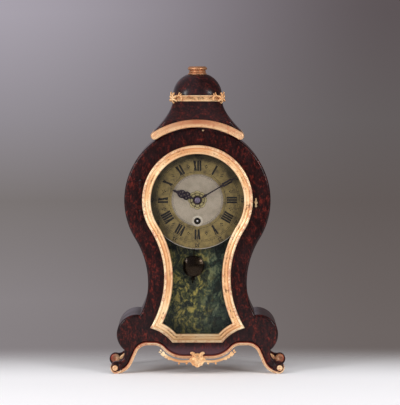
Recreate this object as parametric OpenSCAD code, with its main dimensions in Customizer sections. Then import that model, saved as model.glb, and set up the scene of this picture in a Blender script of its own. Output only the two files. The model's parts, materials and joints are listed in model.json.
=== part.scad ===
// Waisted table clock with a glazed front door, a brass dial, a short pendulum
// that swings in front of a painted board, and a spring-driven movement.
// X is to the right, the dial faces -Y, Z is up and the feet stand on Z = 0.
// Rows of the outline are drawn as [x, z] seen from the front.

/* [Case] */
// Height of the dial centre above the surface
dial_z = 254.6; // [250:0.1:260]
// Radius of the round head of the case
head_r = 107.2; // [105:0.1:109]
// Half width of the case at its waist
waist_w = 72.4; // [70:0.1:75]
// Height of the waist
waist_z = 132.1; // [128:0.1:136]
// Radius of the flank below the waist
flank_r = 93; // [88:0.5:98]
// Distance of each shoulder scroll from the middle
lobe_x = 89.2; // [87:0.1:91]
// Height of the centre of each shoulder scroll
lobe_z = 57.5; // [56:0.1:60]
// Radius of each shoulder scroll
lobe_r = 29.3; // [28:0.1:30]
// Depth of the case from front face to back face
case_depth = 124; // [118:1:134]
// Thickness of the front panel
front_t = 9; // [8:0.5:10]
// Thickness of the back panel
back_t = 8; // [7:0.5:10]
// Thickness of the bent side walls
side_t = 6; // [5:0.5:7]
// Thickness of the bottom board
floor_t = 6; // [4:0.5:8]

/* [Feet and apron] */
// Distance of the centre of each leg's curve from the middle
leg_x = 119.5; // [118.9:0.1:121]
// Radius of the inner side of each leg
leg_in_r = 25.6; // [25:0.1:26]
// Radius of the outer side of each leg
leg_out_r = 12; // [11.5:0.1:12.5]
// Height of the centre of the leg's outer side
ankle_z = 29.2; // [28.8:0.1:29.8]
// Distance of each foot scroll from the middle
volute_x = 118.9; // [118:0.1:120]
// Radius of each foot scroll
volute_r = 9; // [8.5:0.1:9.5]
// How far a foot scroll stands proud of its leg
volute_proud = 1.2; // [0.8:0.1:1.6]
// How much further out the rear foot scrolls stand
rear_splay = 4.8; // [3:0.1:6]
// Radius of the arch between leg and apron
arch_r = 17.2; // [16.8:0.1:17.6]
// Height of the centre of the arch
arch_z = 24.5; // [24:0.1:25]
// Where the arch starts to fall to the leg
arch_out_x = 73.1; // [72:0.1:74]
// Where the arch starts to fall to the apron
arch_in_x = 64; // [63:0.1:65]
// Half width of the flat middle of the apron
apron_x = 19.5; // [18:0.1:21]
// Height of the lowest edge of the apron
apron_z = 22; // [21.5:0.1:23]
// Thickness of the gilt strip under the apron
strip_t = 4.8; // [4.4:0.1:5.2]
// How far the gilt strip stands proud of the panel
strip_proud = 0.8; // [0.4:0.1:1.2]
// Thickness of the cast apron mount
mount_t = 3.6; // [3:0.1:4]

/* [Hood] */
// Radius of the lower edge of the arched moulding
cornice_r = 111; // [108:0.1:114]
// Height of the arched moulding
cornice_h = 11.3; // [10:0.1:12]
// Half width of the arched moulding
cornice_x = 68.2; // [67:0.1:70]
// Half depth of the arched moulding
cornice_y = 74; // [73:0.1:76]
// Depth of the moulding in front of the hood's base
cornice_t = 8; // [6:0.1:9]
// Width of the moulding beside the hood's base
cornice_side_t = 3; // [2.6:0.1:4]
// Half width of the hood under its gilt band
neck_w = 36.8; // [35:0.1:37]
// Half width of the gilt band
band_w = 37.6; // [37:0.1:39]
// Height of the gilt band above the head of the case
neck_h = 36.9; // [35:0.1:38]
// Height of the gilt band
band_h = 9.3; // [8:0.1:10]
// Half width of the foot of the dome
dome_w = 36.2; // [35:0.1:37]
// Height of the dome
dome_h = 29.9; // [29:0.1:31]
// Radius of the finial's rings
finial_r = 14.4; // [13:0.1:15]
// Height of the finial
finial_h = 12.1; // [11:0.1:13]

/* [Front door] */
// Outer radius of the gilt frame round the dial
door_r = 81; // [80:0.1:82]
// Outer half width of the gilt frame at its waist
door_waist = 48.6; // [47:0.1:50]
// Height of the frame's waist
door_waist_z = 142.3; // [140:0.1:145]
// Radius of the frame's flank below its waist
door_flank_r = 143.8; // [140:0.1:148]
// Distance of the lower corner curve's centre from the middle
corner_x = 83.5; // [82:0.1:85]
// Height of the lower corner curve's centre
corner_z = 10.7; // [9:0.1:12]
// Radius of the lower corner curve
corner_r = 58.8; // [58:0.1:60]
// Height of the bottom edge of the frame
door_z = 46.4; // [45:0.1:48]
// Width of the gilt frame
frame_w = 12.8; // [12:0.1:13.4]
// Thickness of the frame without its beads
frame_t = 6.7; // [6:0.1:7.5]
// Height of the frame's outer bead
bead_h = 2.3; // [1.5:0.1:2.6]
// Thickness of the glass
glass_t = 2; // [1.5:0.1:2.4]
// How far the glass reaches under the frame
glass_hold = 4.8; // [3:0.1:5]
// How far the door opens
door_swing = 110; // [80:1:120]

/* [Rear door] */
// Half width of the rear door
rear_w = 48; // [44:0.5:50]
// Height of the bottom of the rear door
rear_z0 = 168; // [165:1:175]
// Height of the top of the rear door
rear_z1 = 324; // [310:1:326]
// Width of the seat round the rear door
rear_seat = 4; // [3:0.5:5]
// Thickness of the rear door
rear_t = 4.7; // [4:0.1:5.5]

/* [Dial and hands] */
// Radius of the dial plate
dial_r = 72.3; // [70:0.1:73]
// Thickness of the dial plate
dial_t = 1.5; // [1.2:0.1:2]
// Radius of the silvered centre
centre_r = 38; // [37:0.1:39]
// Radius of the applied rosette
rosette_r = 14; // [13:0.1:15]
// Radius of the winding hole
wind_hole_r = 4.65; // [4.4:0.05:5]
// Length of the hour hand
hour_hand_l = 40; // [36:0.5:42]
// Length of the minute hand
minute_hand_l = 64; // [60:0.5:66]
// Thickness of the hands
hand_t = 0.8; // [0.6:0.1:1]
// Where the hour hand points, in degrees clockwise from twelve
hour_at = 292; // [0:1:359]
// Where the minute hand points, in degrees clockwise from twelve
minute_at = 59.5; // [0:0.5:359]

/* [Board and pendulum] */
// Thickness of the painted board
board_t = 4; // [3:0.5:4.5]
// Radius of the hole in the board behind the dial
board_hole_r = 64.5; // [64:0.1:65.5]
// Height of the pallet arbor above the dial centre
pallet_z = 38; // [37:0.1:39]
// Depth of the bob's centre below the dial centre
bob_drop = 98.4; // [94:0.1:102]
// Radius of the bob
bob_r = 16; // [14:0.1:17]
// Thickness of the bob in its middle
bob_t = 9.2; // [7:0.1:9.4]
// Radius of the pendulum wires
wire_r = 0.9; // [0.8:0.05:1]
// Half width of the stirrup round the arbors
stirrup_w = 11; // [10.8:0.1:11.2]
// Resting swing of the pendulum, bob to the left
swing_rest = 2.5; // [0:0.1:3]

/* [Movement] */
// Distance between the plates
plate_gap = 40; // [38:0.5:42]
// Thickness of the plates
plate_t = 2; // [1.6:0.1:2.4]
// Half width of the plates
plate_w = 37; // [36:0.1:38]
// Distance of the barrel below the centre arbor
barrel_drop = 30.8; // [30.4:0.1:31.2]
// Distance from the centre arbor to the third arbor
third_reach = 20.5; // [20.2:0.05:20.8]
// Distance from the third arbor to the escape arbor
escape_reach = 18.3; // [18.1:0.05:18.5]
// Radius of the escape wheel
escape_r = 9; // [8.8:0.05:9.2]
// Distance of the minute wheel's stud from the centre
stud_x = 18; // [17.8:0.05:18.2]

/* [Fits] */
// Gap between two pieces that are glued or screwed together
seat = 0.05; // [0.02:0.01:0.1]
// Radial play of a turning pivot
play = 0.05; // [0.03:0.01:0.08]
// Gap between pieces that pass each other
air = 0.3; // [0.25:0.05:0.4]

/* [Hidden] */
$fn = 64;

wood = "#3a1c1c";
gilt = "#d9a45e";
brass = "#a8894a";
steel = "#8a8d93";
dark_steel = "#3a3438";
board_green = "#3c5040";
silvered = "#b9b4a2";

// Teeth of the barrel
barrel_n = 72;
// Leaves of the centre pinion
centre_pn = 9;
// Teeth of the centre wheel
centre_n = 84;
// Leaves of the third pinion
third_pn = 7;
// Teeth of the third wheel
third_n = 81;
// Leaves of the escape pinion
escape_pn = 6;
// Teeth of the escape wheel
escape_n = 30;
// Teeth of the cannon pinion
cannon_n = 14;
// Teeth of the minute wheel
minute_n = 42;
// Leaves of the minute pinion
minute_pn = 10;
// Teeth of the hour wheel
hour_n = 40;
// Teeth of the ratchet wheel
ratchet_n = 24;

dial_c = [0, dial_z];
band_z = dial_z + head_r + neck_h;
front_y = -case_depth / 2;
inner_front_y = front_y + front_t;
back_y = case_depth / 2;
inner_back_y = back_y - back_t;

// Curves

function arc(c, r, a0, a1, n) = [for (i = [0:n]) let (a = a0 + (a1 - a0) * i / n) c + r * [cos(a), sin(a)]];
function mirrored(p) = [for (i = [len(p) - 2:-1:1]) [-p[i][0], p[i][1]]];
function whole(p) = concat(p, mirrored(p));
function reversed(p) = [for (i = [len(p) - 1:-1:0]) p[i]];
function bearing(c, p) = atan2(p[1] - c[1], p[0] - c[0]);
function bearing_up(c, p) = (bearing(c, p) + 360) % 360;
// Centre of the flank arc that leaves a round head and is upright at the waist
function flank_radius(r, w, dz) = (w * w + dz * dz - r * r) / (2 * (r - w));
// One of the two points where two circles cross
function meet(c0, r0, c1, r1, side) =
  let (d = norm(c1 - c0), a = (r0 * r0 - r1 * r1 + d * d) / (2 * d), u = (c1 - c0) / d)
  c0 + a * u + side * sqrt(r0 * r0 - a * a) * [-u[1], u[0]];
// Half of a rounded square, as a ring of n points with half widths wx and wy
function soft_square(wx, wy, e, n) = [for (i = [0:n - 1]) let (c = cos(i * 360 / n), s = sin(i * 360 / n))
  [wx * sign(c) * pow(abs(c), 2 / e), wy * sign(s) * pow(abs(s), 2 / e)]];

shoulder_r = flank_radius(head_r, waist_w, dial_z - waist_z);
shoulder_c = [waist_w + shoulder_r, waist_z];
shoulder_a = bearing(dial_c, shoulder_c);
flank_c = [waist_w + flank_r, waist_z];
lobe_c = [lobe_x, lobe_z];
lobe_end_a = -acos((leg_x - leg_out_r - lobe_x) / lobe_r);

// Side of the case, from the top of the head down to the leg, moved inward by t
function case_side(t) = let (p = meet(flank_c, flank_r + t, lobe_c, lobe_r - t, -1)) concat(
  arc(dial_c, head_r - t, 90, shoulder_a, 28),
  arc(shoulder_c, shoulder_r + t, shoulder_a + 180, 180, 12),
  arc(flank_c, flank_r + t, 180, bearing_up(flank_c, p), 6),
  arc(lobe_c, lobe_r - t, bearing(lobe_c, p), lobe_end_a, 16));

leg_c = [leg_x, leg_in_r];
arch_out_c = [arch_out_x, arch_z];
arch_in_c = [arch_in_x, arch_z];
// Bearing at which the leg's straight inner edge touches both of its curves
leg_lean = bearing(arch_out_c, leg_c) + acos((arch_r + leg_in_r) / norm(leg_c - arch_out_c));
apron_r = (pow(arch_in_x - apron_x, 2) + pow(apron_z - arch_z, 2) - arch_r * arch_r)
  / (2 * (arch_r - apron_z + arch_z));
apron_c = [apron_x, apron_z + apron_r];
apron_a = bearing(arch_in_c, apron_c);

// Lower edge of the case, from the foot over the arch to the middle, moved into the wood by t
function lower_edge(t) = concat(
  arc(leg_c, leg_in_r - t, 270, 180 + leg_lean, 10),
  arc(arch_out_c, arch_r + t, leg_lean, 90, 8),
  arc(arch_in_c, arch_r + t, 90, apron_a, 6),
  arc(apron_c, apron_r - t, apron_a + 180, 270, 6),
  [[0, apron_z + t]]);

// Outline of a panel whose lower edge lies t inside the gilt edge and whose foot reaches x
function panel_half(t, x) = let (end_x = max(x, leg_x) + 0.1)
  concat(case_side(0), arc([leg_x, ankle_z], leg_out_r, 180, 270, 6),
  [[end_x, ankle_z - leg_out_r], [end_x, t]], lower_edge(t));

door_shoulder_r = flank_radius(door_r, door_waist, dial_z - door_waist_z);
door_shoulder_c = [door_waist + door_shoulder_r, door_waist_z];
door_shoulder_a = bearing(dial_c, door_shoulder_c);
door_flank_c = [door_waist + door_flank_r, door_waist_z];
corner_c = [corner_x, corner_z];

// Outline of the front door, moved inward by t
function door_half(t) = let (
  p = meet(door_flank_c, door_flank_r + t, corner_c, corner_r + t, -1),
  q = [corner_x - sqrt(pow(corner_r + t, 2) - pow(door_z + t - corner_z, 2)), door_z + t])
  concat(arc(dial_c, door_r - t, 90, door_shoulder_a, 28),
  arc(door_shoulder_c, door_shoulder_r + t, door_shoulder_a + 180, 180, 10),
  arc(door_flank_c, door_flank_r + t, 180, bearing_up(door_flank_c, p), 8),
  arc(corner_c, corner_r + t, bearing(corner_c, p), bearing(corner_c, q), 8),
  [[0, door_z + t]]);

// Turned and flat pieces

// A flat piece whose drawing is in X and Z, between the depths y0 and y1
module slab(y0, y1) { translate([0, y1, 0]) rotate([90, 0, 0]) linear_extrude(y1 - y0) children(); }
// A round bar along Y
module bar_y(p, r, y0, y1) { translate([p[0], y0, p[1]]) rotate([-90, 0, 0]) cylinder(r = r, h = y1 - y0); }
// A turned piece about an axis along Y, drawn as [radius, depth behind the axis point]
module turned_y(p, y, n = 64) {
  translate([p[0], y, p[1]]) rotate([-90, 0, 0]) rotate_extrude($fn = n) children();
}
module both_sides() {
  children();
  mirror([1, 0, 0]) children();
}
// Places a piece at a point given from the dial centre
module from_dial(p = [0, 0]) { translate([p[0], 0, dial_z + p[1]]) children(); }

// Case

opening_inset = frame_w - 3;
catch_p = [door_r + 4.6, dial_z - 2.6];
nail_r = 0.9;
nail_in = 5;
crest_nail_p = [8.2, dial_z + head_r - 4.5];
apron_nail_p = [0, apron_z + strip_t * 0.6];
turn_screw_r = 1.1;
turn_screw_in = 6;

module front_panel() color(wood) difference() {
  slab(front_y, inner_front_y) polygon(whole(panel_half(strip_t, volute_x)));
  slab(front_y - 1, inner_front_y + 1) polygon(whole(door_half(opening_inset)));
  both_sides() bar_y(front_volute_c, volute_r + seat, front_y - 1, inner_front_y + 1);
  bar_y(catch_p, turn_screw_r + seat, front_y - 1, front_y + turn_screw_in);
  bar_y(crest_nail_p, nail_r + seat, front_y - 1, front_y + nail_in);
}

rear_mid_z = (rear_z0 + rear_z1) / 2;
button_p = [rear_w + 9, rear_mid_z];
rear_gap = 1;

module rear_opening(margin, y0, y1) {
  translate([-rear_w - margin, y0, rear_z0 - margin])
    cube([2 * (rear_w + margin), y1 - y0, rear_z1 - rear_z0 + 2 * margin]);
}

module back_panel() color(wood) difference() {
  slab(inner_back_y, back_y) polygon(whole(panel_half(0, rear_volute_c[0])));
  rear_opening(rear_gap, back_y - rear_t - air, back_y + 1);
  rear_opening(rear_gap - rear_seat, inner_back_y - 1, back_y);
  both_sides() bar_y(rear_volute_c, volute_r + seat, inner_back_y - 1, back_y + 1);
  bar_y(button_p, turn_screw_r + seat, back_y - turn_screw_in, back_y + 1);
}

module side_wall() color(wood) slab(inner_front_y, inner_back_y)
  polygon(concat(case_side(0), reversed(case_side(side_t))));
module side_right() side_wall();
module side_left() mirror([1, 0, 0]) side_wall();

floor_z = arch_z + arch_r + strip_t + air;
floor_reach = max(lobe_z - floor_z, floor_z + floor_t - lobe_z);
floor_w = lobe_x + sqrt(pow(lobe_r - side_t, 2) - pow(floor_reach, 2)) - air;

module case_floor() color(wood)
  translate([-floor_w, inner_front_y, floor_z]) cube([2 * floor_w, inner_back_y - inner_front_y, floor_t]);

// Gilt strip under the front of the case, between the two foot scrolls
module apron_strip() color(gilt) difference() {
  slab(front_y - strip_proud, inner_front_y)
    polygon(whole(concat(reversed(lower_edge(strip_t - seat)), lower_edge(0))));
  both_sides() bar_y(front_volute_c, volute_r + seat, front_y - 2, inner_front_y + 1);
  bar_y(apron_nail_p, nail_r + seat, front_y - 2, front_y + nail_in);
}

// The scrolls are cut flat underneath, where they stand
foot_cut = 0.4;
volute_z = volute_r - foot_cut;
front_volute_c = [volute_x, volute_z];
rear_volute_c = [volute_x + rear_splay, volute_z];
volute_eye_r = 3.2;
volute_eye_h = 0.8;
module foot_scroll(c, y0, y1) difference() {
  union() {
    bar_y(c, volute_r, y0, y1);
    bar_y(c, volute_eye_r, y0 - volute_eye_h, y1 + volute_eye_h);
  }
  translate([c[0] - volute_r, y0 - 1, -1]) cube([2 * volute_r, y1 - y0 + 2, 1]);
}
module foot_scrolls() color(gilt) both_sides() {
  foot_scroll(front_volute_c, front_y - volute_proud, inner_front_y + volute_proud);
  foot_scroll(rear_volute_c, inner_back_y - volute_proud, back_y + volute_proud);
}

// Cast mount under the apron: a shield between two leafy arms
mount_y = front_y - strip_proud - seat;
shield_w = 12.4;
shield_z0 = apron_z - 12.8;
shield_top = apron_z + 10.6;
shield_mid = apron_z - 3.6;
// The arms follow the edge of the apron, with a gap between
arm_gap = 2;
arm_r = apron_r + arm_gap;
arm_t = 3.9;
arm_root = 4;
arm_a0 = 270 - asin((apron_x - shield_w + arm_root) / arm_r);
arm_a1 = 316;
bud_r = 2.4;
bud_less = 0.2;
bud_shares = [0.3, 0.5, 0.7, 0.9];
module mount_arm() {
  slab(mount_y - mount_t * 0.7, mount_y) polygon(concat(
    arc(apron_c, arm_r + arm_t, arm_a0, arm_a1, 12), reversed(arc(apron_c, arm_r, arm_a0, arm_a1, 12))));
  for (i = [0:3]) let (a = arm_a0 + bud_shares[i] * (arm_a1 - arm_a0))
    bar_y(apron_c + polar(arm_r + arm_t * 0.9, a), bud_r - bud_less * i, mount_y - mount_t * 0.8, mount_y);
}
module apron_mount() color(gilt) difference() {
  union() {
    slab(mount_y - mount_t, mount_y) polygon(whole([[0, shield_top - 2], [3, shield_top - 1.5],
      [6, shield_top], [8.6, shield_top - 1], [shield_w - 3, shield_top - 7], [shield_w, shield_mid + 3],
      [shield_w - 3.4, shield_mid - 3], [6.6, shield_z0 + 3.6], [4, shield_z0 + 0.8], [0, shield_z0]]));
    both_sides() mount_arm();
    turned_y([0, shield_mid - 1], mount_y - mount_t)
      polygon([[0, -1.2], [2.6, -1], [4.6, -0.4], [5.4, 0.2], [0, 0.2]]);
  }
  bar_y(apron_nail_p, nail_r + seat, mount_y - mount_t - 2, mount_y + 1);
}

module nail(p, y) {
  bar_y(p, nail_r, y, front_y + nail_in - 0.5);
  turned_y(p, y) polygon([[0, -1.1], [0.9, -0.9], [1.5, -0.3], [1.6, 0], [0, 0]]);
}
module case_nails() color(brass) {
  nail(crest_nail_p, front_y);
  nail(apron_nail_p, mount_y - mount_t);
}

// Hood

cornice_c = [0, dial_z + head_r - cornice_r];
core_x = cornice_x - cornice_side_t;
core_y = cornice_y - cornice_t;
cornice_top = cornice_c[1] + cornice_r + cornice_h;
eave_z = cornice_c[1] + sqrt(pow(cornice_r + cornice_h, 2) - core_x * core_x);

// Concave roof line from the eave [w, z0] up to the neck
roof_sweep = 1.6;
function roof_line(w, z0) = let (n = 10, dx = w - neck_w, dz = band_z - z0)
  [for (i = [0:n]) let (s = i / n) [neck_w + dx * pow(1 - s, roof_sweep), z0 + dz * s]];

module hood_roof() color(wood) difference() {
  intersection() {
    slab(-core_y, core_y) polygon(concat(
      roof_line(core_x - seat, eave_z),
      reversed([for (p = roof_line(core_x - seat, eave_z)) [-p[0], p[1]]]),
      arc(dial_c, head_r + seat, 180 - acos(core_x / head_r), acos(core_x / head_r), 24)));
    rotate([0, 0, 90]) slab(-core_x - 1, core_x + 1) polygon(concat(
      [[core_y - seat, dial_z]], roof_line(core_y - seat, cornice_top - 2),
      reversed([for (p = roof_line(core_y - seat, cornice_top - 2)) [-p[0], p[1]]]),
      [[-core_y + seat, dial_z]]));
  }
  on_corners() cylinder(r = leaf_at + leaf_r + air, h = 20);
}

cornice_mid_r = cornice_r + cornice_h / 2;
cornice_end_a = acos((cornice_x - cornice_h / 2) / cornice_mid_r);
module hood_moulding() color(gilt) difference() {
  union() {
    slab(-cornice_y, cornice_y) polygon(concat(
      arc(cornice_c, cornice_r + cornice_h, cornice_end_a, 180 - cornice_end_a, 32),
      arc(cornice_c, cornice_r, 180 - cornice_end_a, cornice_end_a, 32)));
    both_sides() bar_y(cornice_c + cornice_mid_r * [cos(cornice_end_a), sin(cornice_end_a)],
      cornice_h / 2, -cornice_y, cornice_y);
  }
  translate([-core_x, -core_y, dial_z]) cube([2 * core_x, 2 * core_y, head_r + 100]);
}

band_e = 8;
module band_slice(w, z0, z1) translate([0, 0, band_z + z0])
  linear_extrude(z1 - z0) polygon(soft_square(w, w, band_e, 64));
module hood_band() color(gilt) union() {
  band_slice(band_w - 0.8, seat, band_h - seat);
  band_slice(band_w, seat, 2.2);
  band_slice(band_w, band_h - 2.2, band_h - seat);
}

// Four cast leaf mounts on the corners of the band, let into the corners of the roof
corner_reach = band_w * pow(0.5, 1 / band_e) * sqrt(2);
leaf_at = 5;
leaf_r = 2.6;
leaf_h = 2.4;
module on_corners() for (a = [45:90:315]) rotate([0, 0, a])
  translate([corner_reach, 0, band_z + band_h / 2]) rotate([0, 90, 0]) children();
module hood_corner_mounts() color(gilt) on_corners() translate([0, 0, seat]) {
  cylinder(r = 4.2, h = 2.6);
  rotate_extrude() polygon([[0, 2.5], [3, 2.5], [2.4, 4], [1.2, 4.8], [0, 5]]);
  for (a = [0:60:300]) rotate([0, 0, a]) translate([leaf_at, 0, 0])
    cylinder(r1 = leaf_r, r2 = leaf_r - 1, h = leaf_h);
}

// Outline of the dome as [share of the half width, share of the height, squareness]; it is an ellipse
// that is cut off under the finial
dome_cut_a = 64;
dome_rings = [for (i = [0:12]) let (a = i * dome_cut_a / 12, s = sin(a) / sin(dome_cut_a))
  [cos(a), s, 6 - 4 * s]];
module hood_dome() color(wood) {
  n = 40;
  points = [for (ring = dome_rings) for (p = soft_square(dome_w * ring[0], dome_w * ring[0], ring[2], n))
    [p[0], p[1], band_z + band_h + seat + (dome_h - 2 * seat) * ring[1]]];
  rows = len(dome_rings);
  polyhedron(points = points, faces = concat(
    [[for (i = [0:n - 1]) i]],
    [for (k = [0:rows - 2], i = [0:n - 1], h = [0:1]) let (j = (i + 1) % n)
      h == 0 ? [k * n + i, (k + 1) * n + i, (k + 1) * n + j] : [k * n + i, (k + 1) * n + j, k * n + j]],
    [[for (i = [n - 1:-1:0]) (rows - 1) * n + i]]));
}

module finial() color(gilt) translate([0, 0, band_z + band_h + dome_h]) rotate_extrude() polygon([[0, 0],
  [finial_r - 0.4, 0], [finial_r - 0.4, 1.6], [finial_r - 1.8, 2.4], [finial_r - 2.2, 5.2],
  [finial_r - 1.2, 6.4], [finial_r, 8], [finial_r, 9.4], [finial_r - 0.8, 10.8], [finial_r - 2.4, finial_h],
  [finial_r - 4.4, finial_h], [finial_r - 5.6, finial_h - 1.2], [0, finial_h - 1.6]]);

// Painted board and its blocks

rod_y = front_y + 20;
bob_air = 1.4;
board_y = rod_y + bob_t / 2 + bob_air;
plate_y = board_y + board_t - plate_t;
board_inset = side_t + seat;

module backboard() color(board_green) difference() {
  slab(board_y, board_y + board_t) intersection() {
    polygon(whole(concat(case_side(board_inset), [[lobe_x, floor_z], [0, floor_z]])));
    translate([-head_r, floor_z + floor_t + seat]) square([2 * head_r, 2 * head_r + dial_z]);
  }
  bar_y(dial_c, board_hole_r, board_y - 1, board_y + board_t + 1);
  for (p = strap_points) bar_y(dial_c + strap_end(p), screw_r + seat, board_y - 1, board_y + board_t + 1);
}

block_w = 12;
block_h = 22;
// Room between a block and the side wall, at the round head and at the waist
head_room = 11;
waist_room = 2;
module board_block(x, z) translate([x - block_w / 2, inner_front_y + seat, z - block_h / 2])
  cube([block_w, board_y - inner_front_y - 2 * seat, block_h]);
module board_blocks() color(wood) both_sides() {
  board_block(head_r - side_t - block_w / 2 - head_room, dial_z);
  board_block(waist_w - side_t - block_w / 2 - waist_room, waist_z);
}

// Front door

door_back_y = front_y - air;
frame_face_y = door_back_y - frame_t;
frame_front_y = frame_face_y - bead_h;
rebate_inset = frame_w - glass_hold - 0.5;
rebate_y = door_back_y - glass_t - 1;
door_axis = [-door_r - 2.9, door_back_y - 4.7];
hinge_z = [dial_z - 22, dial_z + 22];
knuckle_r = 2.2;
knuckle_h = 6;
pin_r = 0.9;
tongue_t = 1.4;
tongue_in = 3.4;

module door_ring(t0, t1, y0, y1) slab(y0, y1) difference() {
  polygon(whole(door_half(t0)));
  polygon(whole(door_half(t1)));
}

catch_t = 1.4;
catch_nose = 6.3;
catch_y = frame_face_y + 2.6;
catch_slot = [78.9 - 81 + door_r, catch_y - 0.25];

module door_frame() color(gilt) difference() {
  union() {
    door_ring(0, frame_w, frame_face_y, door_back_y);
    door_ring(0, 3.6, frame_front_y, frame_face_y);
    door_ring(frame_w - 3.2, frame_w, frame_front_y + 0.9, frame_face_y);
    door_ring(4.8, 6.6, frame_face_y - 0.7, frame_face_y);
  }
  door_ring(rebate_inset, frame_w + 1, rebate_y, door_back_y + 1);
  translate([catch_slot[0], catch_slot[1], catch_p[1] - 1.7]) cube([4, catch_t + 0.5, 7.2]);
  for (z = hinge_z) translate([door_axis[0], door_axis[1] - tongue_t / 2 - seat, z - knuckle_h / 2 - seat])
    cube([door_edge_x(z) + tongue_in + seat - door_axis[0], tongue_t + 2 * seat, knuckle_h + 2 * seat]);
}
// Where the left edge of the frame lies at the height z
function door_edge_x(z) = -sqrt(door_r * door_r - pow(z - dial_z, 2));

module door_glass() color("lightcyan", 0.4) slab(rebate_y + seat, rebate_y + seat + glass_t)
  polygon(whole(door_half(rebate_inset + 0.2)));

module knuckle(p, z0, z1) difference() {
  translate([p[0], p[1], z0]) cylinder(r = knuckle_r, h = z1 - z0);
  translate([p[0], p[1], z0 - 1]) cylinder(r = pin_r + play, h = z1 - z0 + 2);
}

module door_hinge_straps() color(dark_steel) for (z = hinge_z) difference() {
  union() {
    translate([door_axis[0], door_axis[1], z - knuckle_h / 2]) cylinder(r = knuckle_r, h = knuckle_h);
    translate([door_axis[0], door_axis[1] - tongue_t / 2, z - knuckle_h / 2])
      cube([door_edge_x(z) + tongue_in - door_axis[0], tongue_t, knuckle_h]);
  }
  translate([door_axis[0], door_axis[1], z - knuckle_h]) cylinder(r = pin_r + play, h = 2 * knuckle_h);
}

leaf_t = 1.2;
leaf_w = 9;
leaf_knuckle_h = 4;
knuckle_gap = 0.2;
pin_h = knuckle_h + 2 * (knuckle_gap + leaf_knuckle_h);
rear_axis = [-rear_w - rear_gap / 2 - 0.9, back_y + 2.4];
rear_hinge_z = [rear_z0 + 22, rear_z1 - 22];

// Leaf screwed to a panel: two knuckles on a plate, with room between them for the door's knuckle.
// wall is the face of the panel and to_panel is 1 where the panel lies behind the axis
module fixed_leaf(p, z, wall, to_panel) difference() {
  for (s = [-1, 1]) {
    z0 = z + s * (knuckle_h / 2 + knuckle_gap) - (s < 0 ? leaf_knuckle_h : 0);
    translate([p[0], p[1], z0]) cylinder(r = knuckle_r, h = leaf_knuckle_h);
    translate([p[0] - 2.2, min(p[1], wall), z0]) cube([2.2, abs(p[1] - wall), leaf_knuckle_h]);
    translate([p[0] - leaf_w, wall - (to_panel > 0 ? leaf_t : 0), z - pin_h / 2])
      cube([leaf_w, leaf_t, pin_h]);
  }
  translate([p[0], p[1], z - pin_h]) cylinder(r = pin_r + play, h = 2 * pin_h);
  translate([p[0], p[1], z - knuckle_h / 2 - knuckle_gap])
    cylinder(r = knuckle_r + air, h = knuckle_h + 2 * knuckle_gap);
  translate([p[0] + 0.01, p[1] - knuckle_r - 1, z - knuckle_h / 2 - knuckle_gap])
    cube([knuckle_r + 1, 2 * knuckle_r + 2, knuckle_h + 2 * knuckle_gap]);
}
module hinge_leaves() color(dark_steel) {
  for (z = hinge_z) fixed_leaf(door_axis, z, front_y, 1);
  for (z = rear_hinge_z) fixed_leaf(rear_axis, z, back_y, -1);
}

module hinge_pin(p, z) translate([p[0], p[1], z - pin_h / 2]) {
  cylinder(r = pin_r, h = pin_h + 0.1);
  translate([0, 0, pin_h + seat]) cylinder(r1 = 1.6, r2 = 1, h = 1.4);
}
module hinge_pins() color(dark_steel) {
  for (z = hinge_z) hinge_pin(door_axis, z);
  for (z = rear_hinge_z) hinge_pin(rear_axis, z);
}

// Turning catch beside the frame; it points down and is turned to hold the door
module door_catch() color(brass) difference() {
  union() {
    bar_y(catch_p, 2.3, catch_y, front_y - 0.1);
    slab(catch_y, catch_y + catch_t) polygon([for (p = [[-1.2, 0], [-1, catch_nose], [1, catch_nose],
      [1.2, 0], [1.1, -4.4], [1.7, -5.6], [1.1, -7], [-1.1, -7], [-1.7, -5.6], [-1.1, -4.4]]) catch_p + p]);
  }
  bar_y(catch_p, turn_screw_r + play, catch_y - 1, front_y + 1);
}

button_y = back_y + air;
button_t = 2;
button_l = 15;
module rear_button() color(brass) difference() {
  slab(button_y, button_y + button_t) union() {
    polygon([for (p = [[-2.6, 4], [-2.6, -button_l + 2], [-1.2, -button_l], [1.2, -button_l],
      [2.6, -button_l + 2], [2.6, 4]]) button_p + p]);
    translate(button_p + [0, 4]) circle(r = 2.6);
  }
  bar_y(button_p, turn_screw_r + play, button_y - 1, button_y + button_t + 1);
}

module round_head(p, y, side) turned_y(p, y, 48)
  polygon([[0, 0], [2.4, 0], [2.4, side * 0.4], [1.7, side * 1.1], [0, side * 1.4]]);
module turn_screws() color(brass) {
  bar_y(catch_p, turn_screw_r, catch_y - 0.2, front_y + turn_screw_in - 0.5);
  round_head(catch_p, catch_y - 0.1, -1);
  bar_y(button_p, turn_screw_r, back_y - turn_screw_in + 0.5, button_y + button_t + 0.2);
  round_head(button_p, button_y + button_t + 0.1, 1);
}

// Rear door

module rear_door() color(wood) translate([-rear_w, back_y - rear_t, rear_z0])
  cube([2 * rear_w, rear_t, rear_z1 - rear_z0]);

module rear_hinge_straps() color(dark_steel) for (z = rear_hinge_z) difference() {
  union() {
    translate([rear_axis[0], rear_axis[1], z - knuckle_h / 2]) cylinder(r = knuckle_r, h = knuckle_h);
    translate([rear_axis[0], back_y + 0.02, z - knuckle_h / 2]) cube([leaf_w + 3, leaf_t, knuckle_h]);
  }
  translate([rear_axis[0], rear_axis[1], z - knuckle_h]) cylinder(r = pin_r + play, h = 2 * knuckle_h);
}

// Dial

dial_y = inner_front_y + 1;
dial_back_y = dial_y + dial_t;
centre_t = 0.4;
rosette_t = 0.6;
pipe_hole_r = 3.9;
wind_p = dial_c - [0, barrel_drop];
foot_r = 1.5;
foot_points = [[33, 24], [-33, 24], [33, -24], [-33, -24]];
foot_end_y = plate_y + plate_t + 3;

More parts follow.
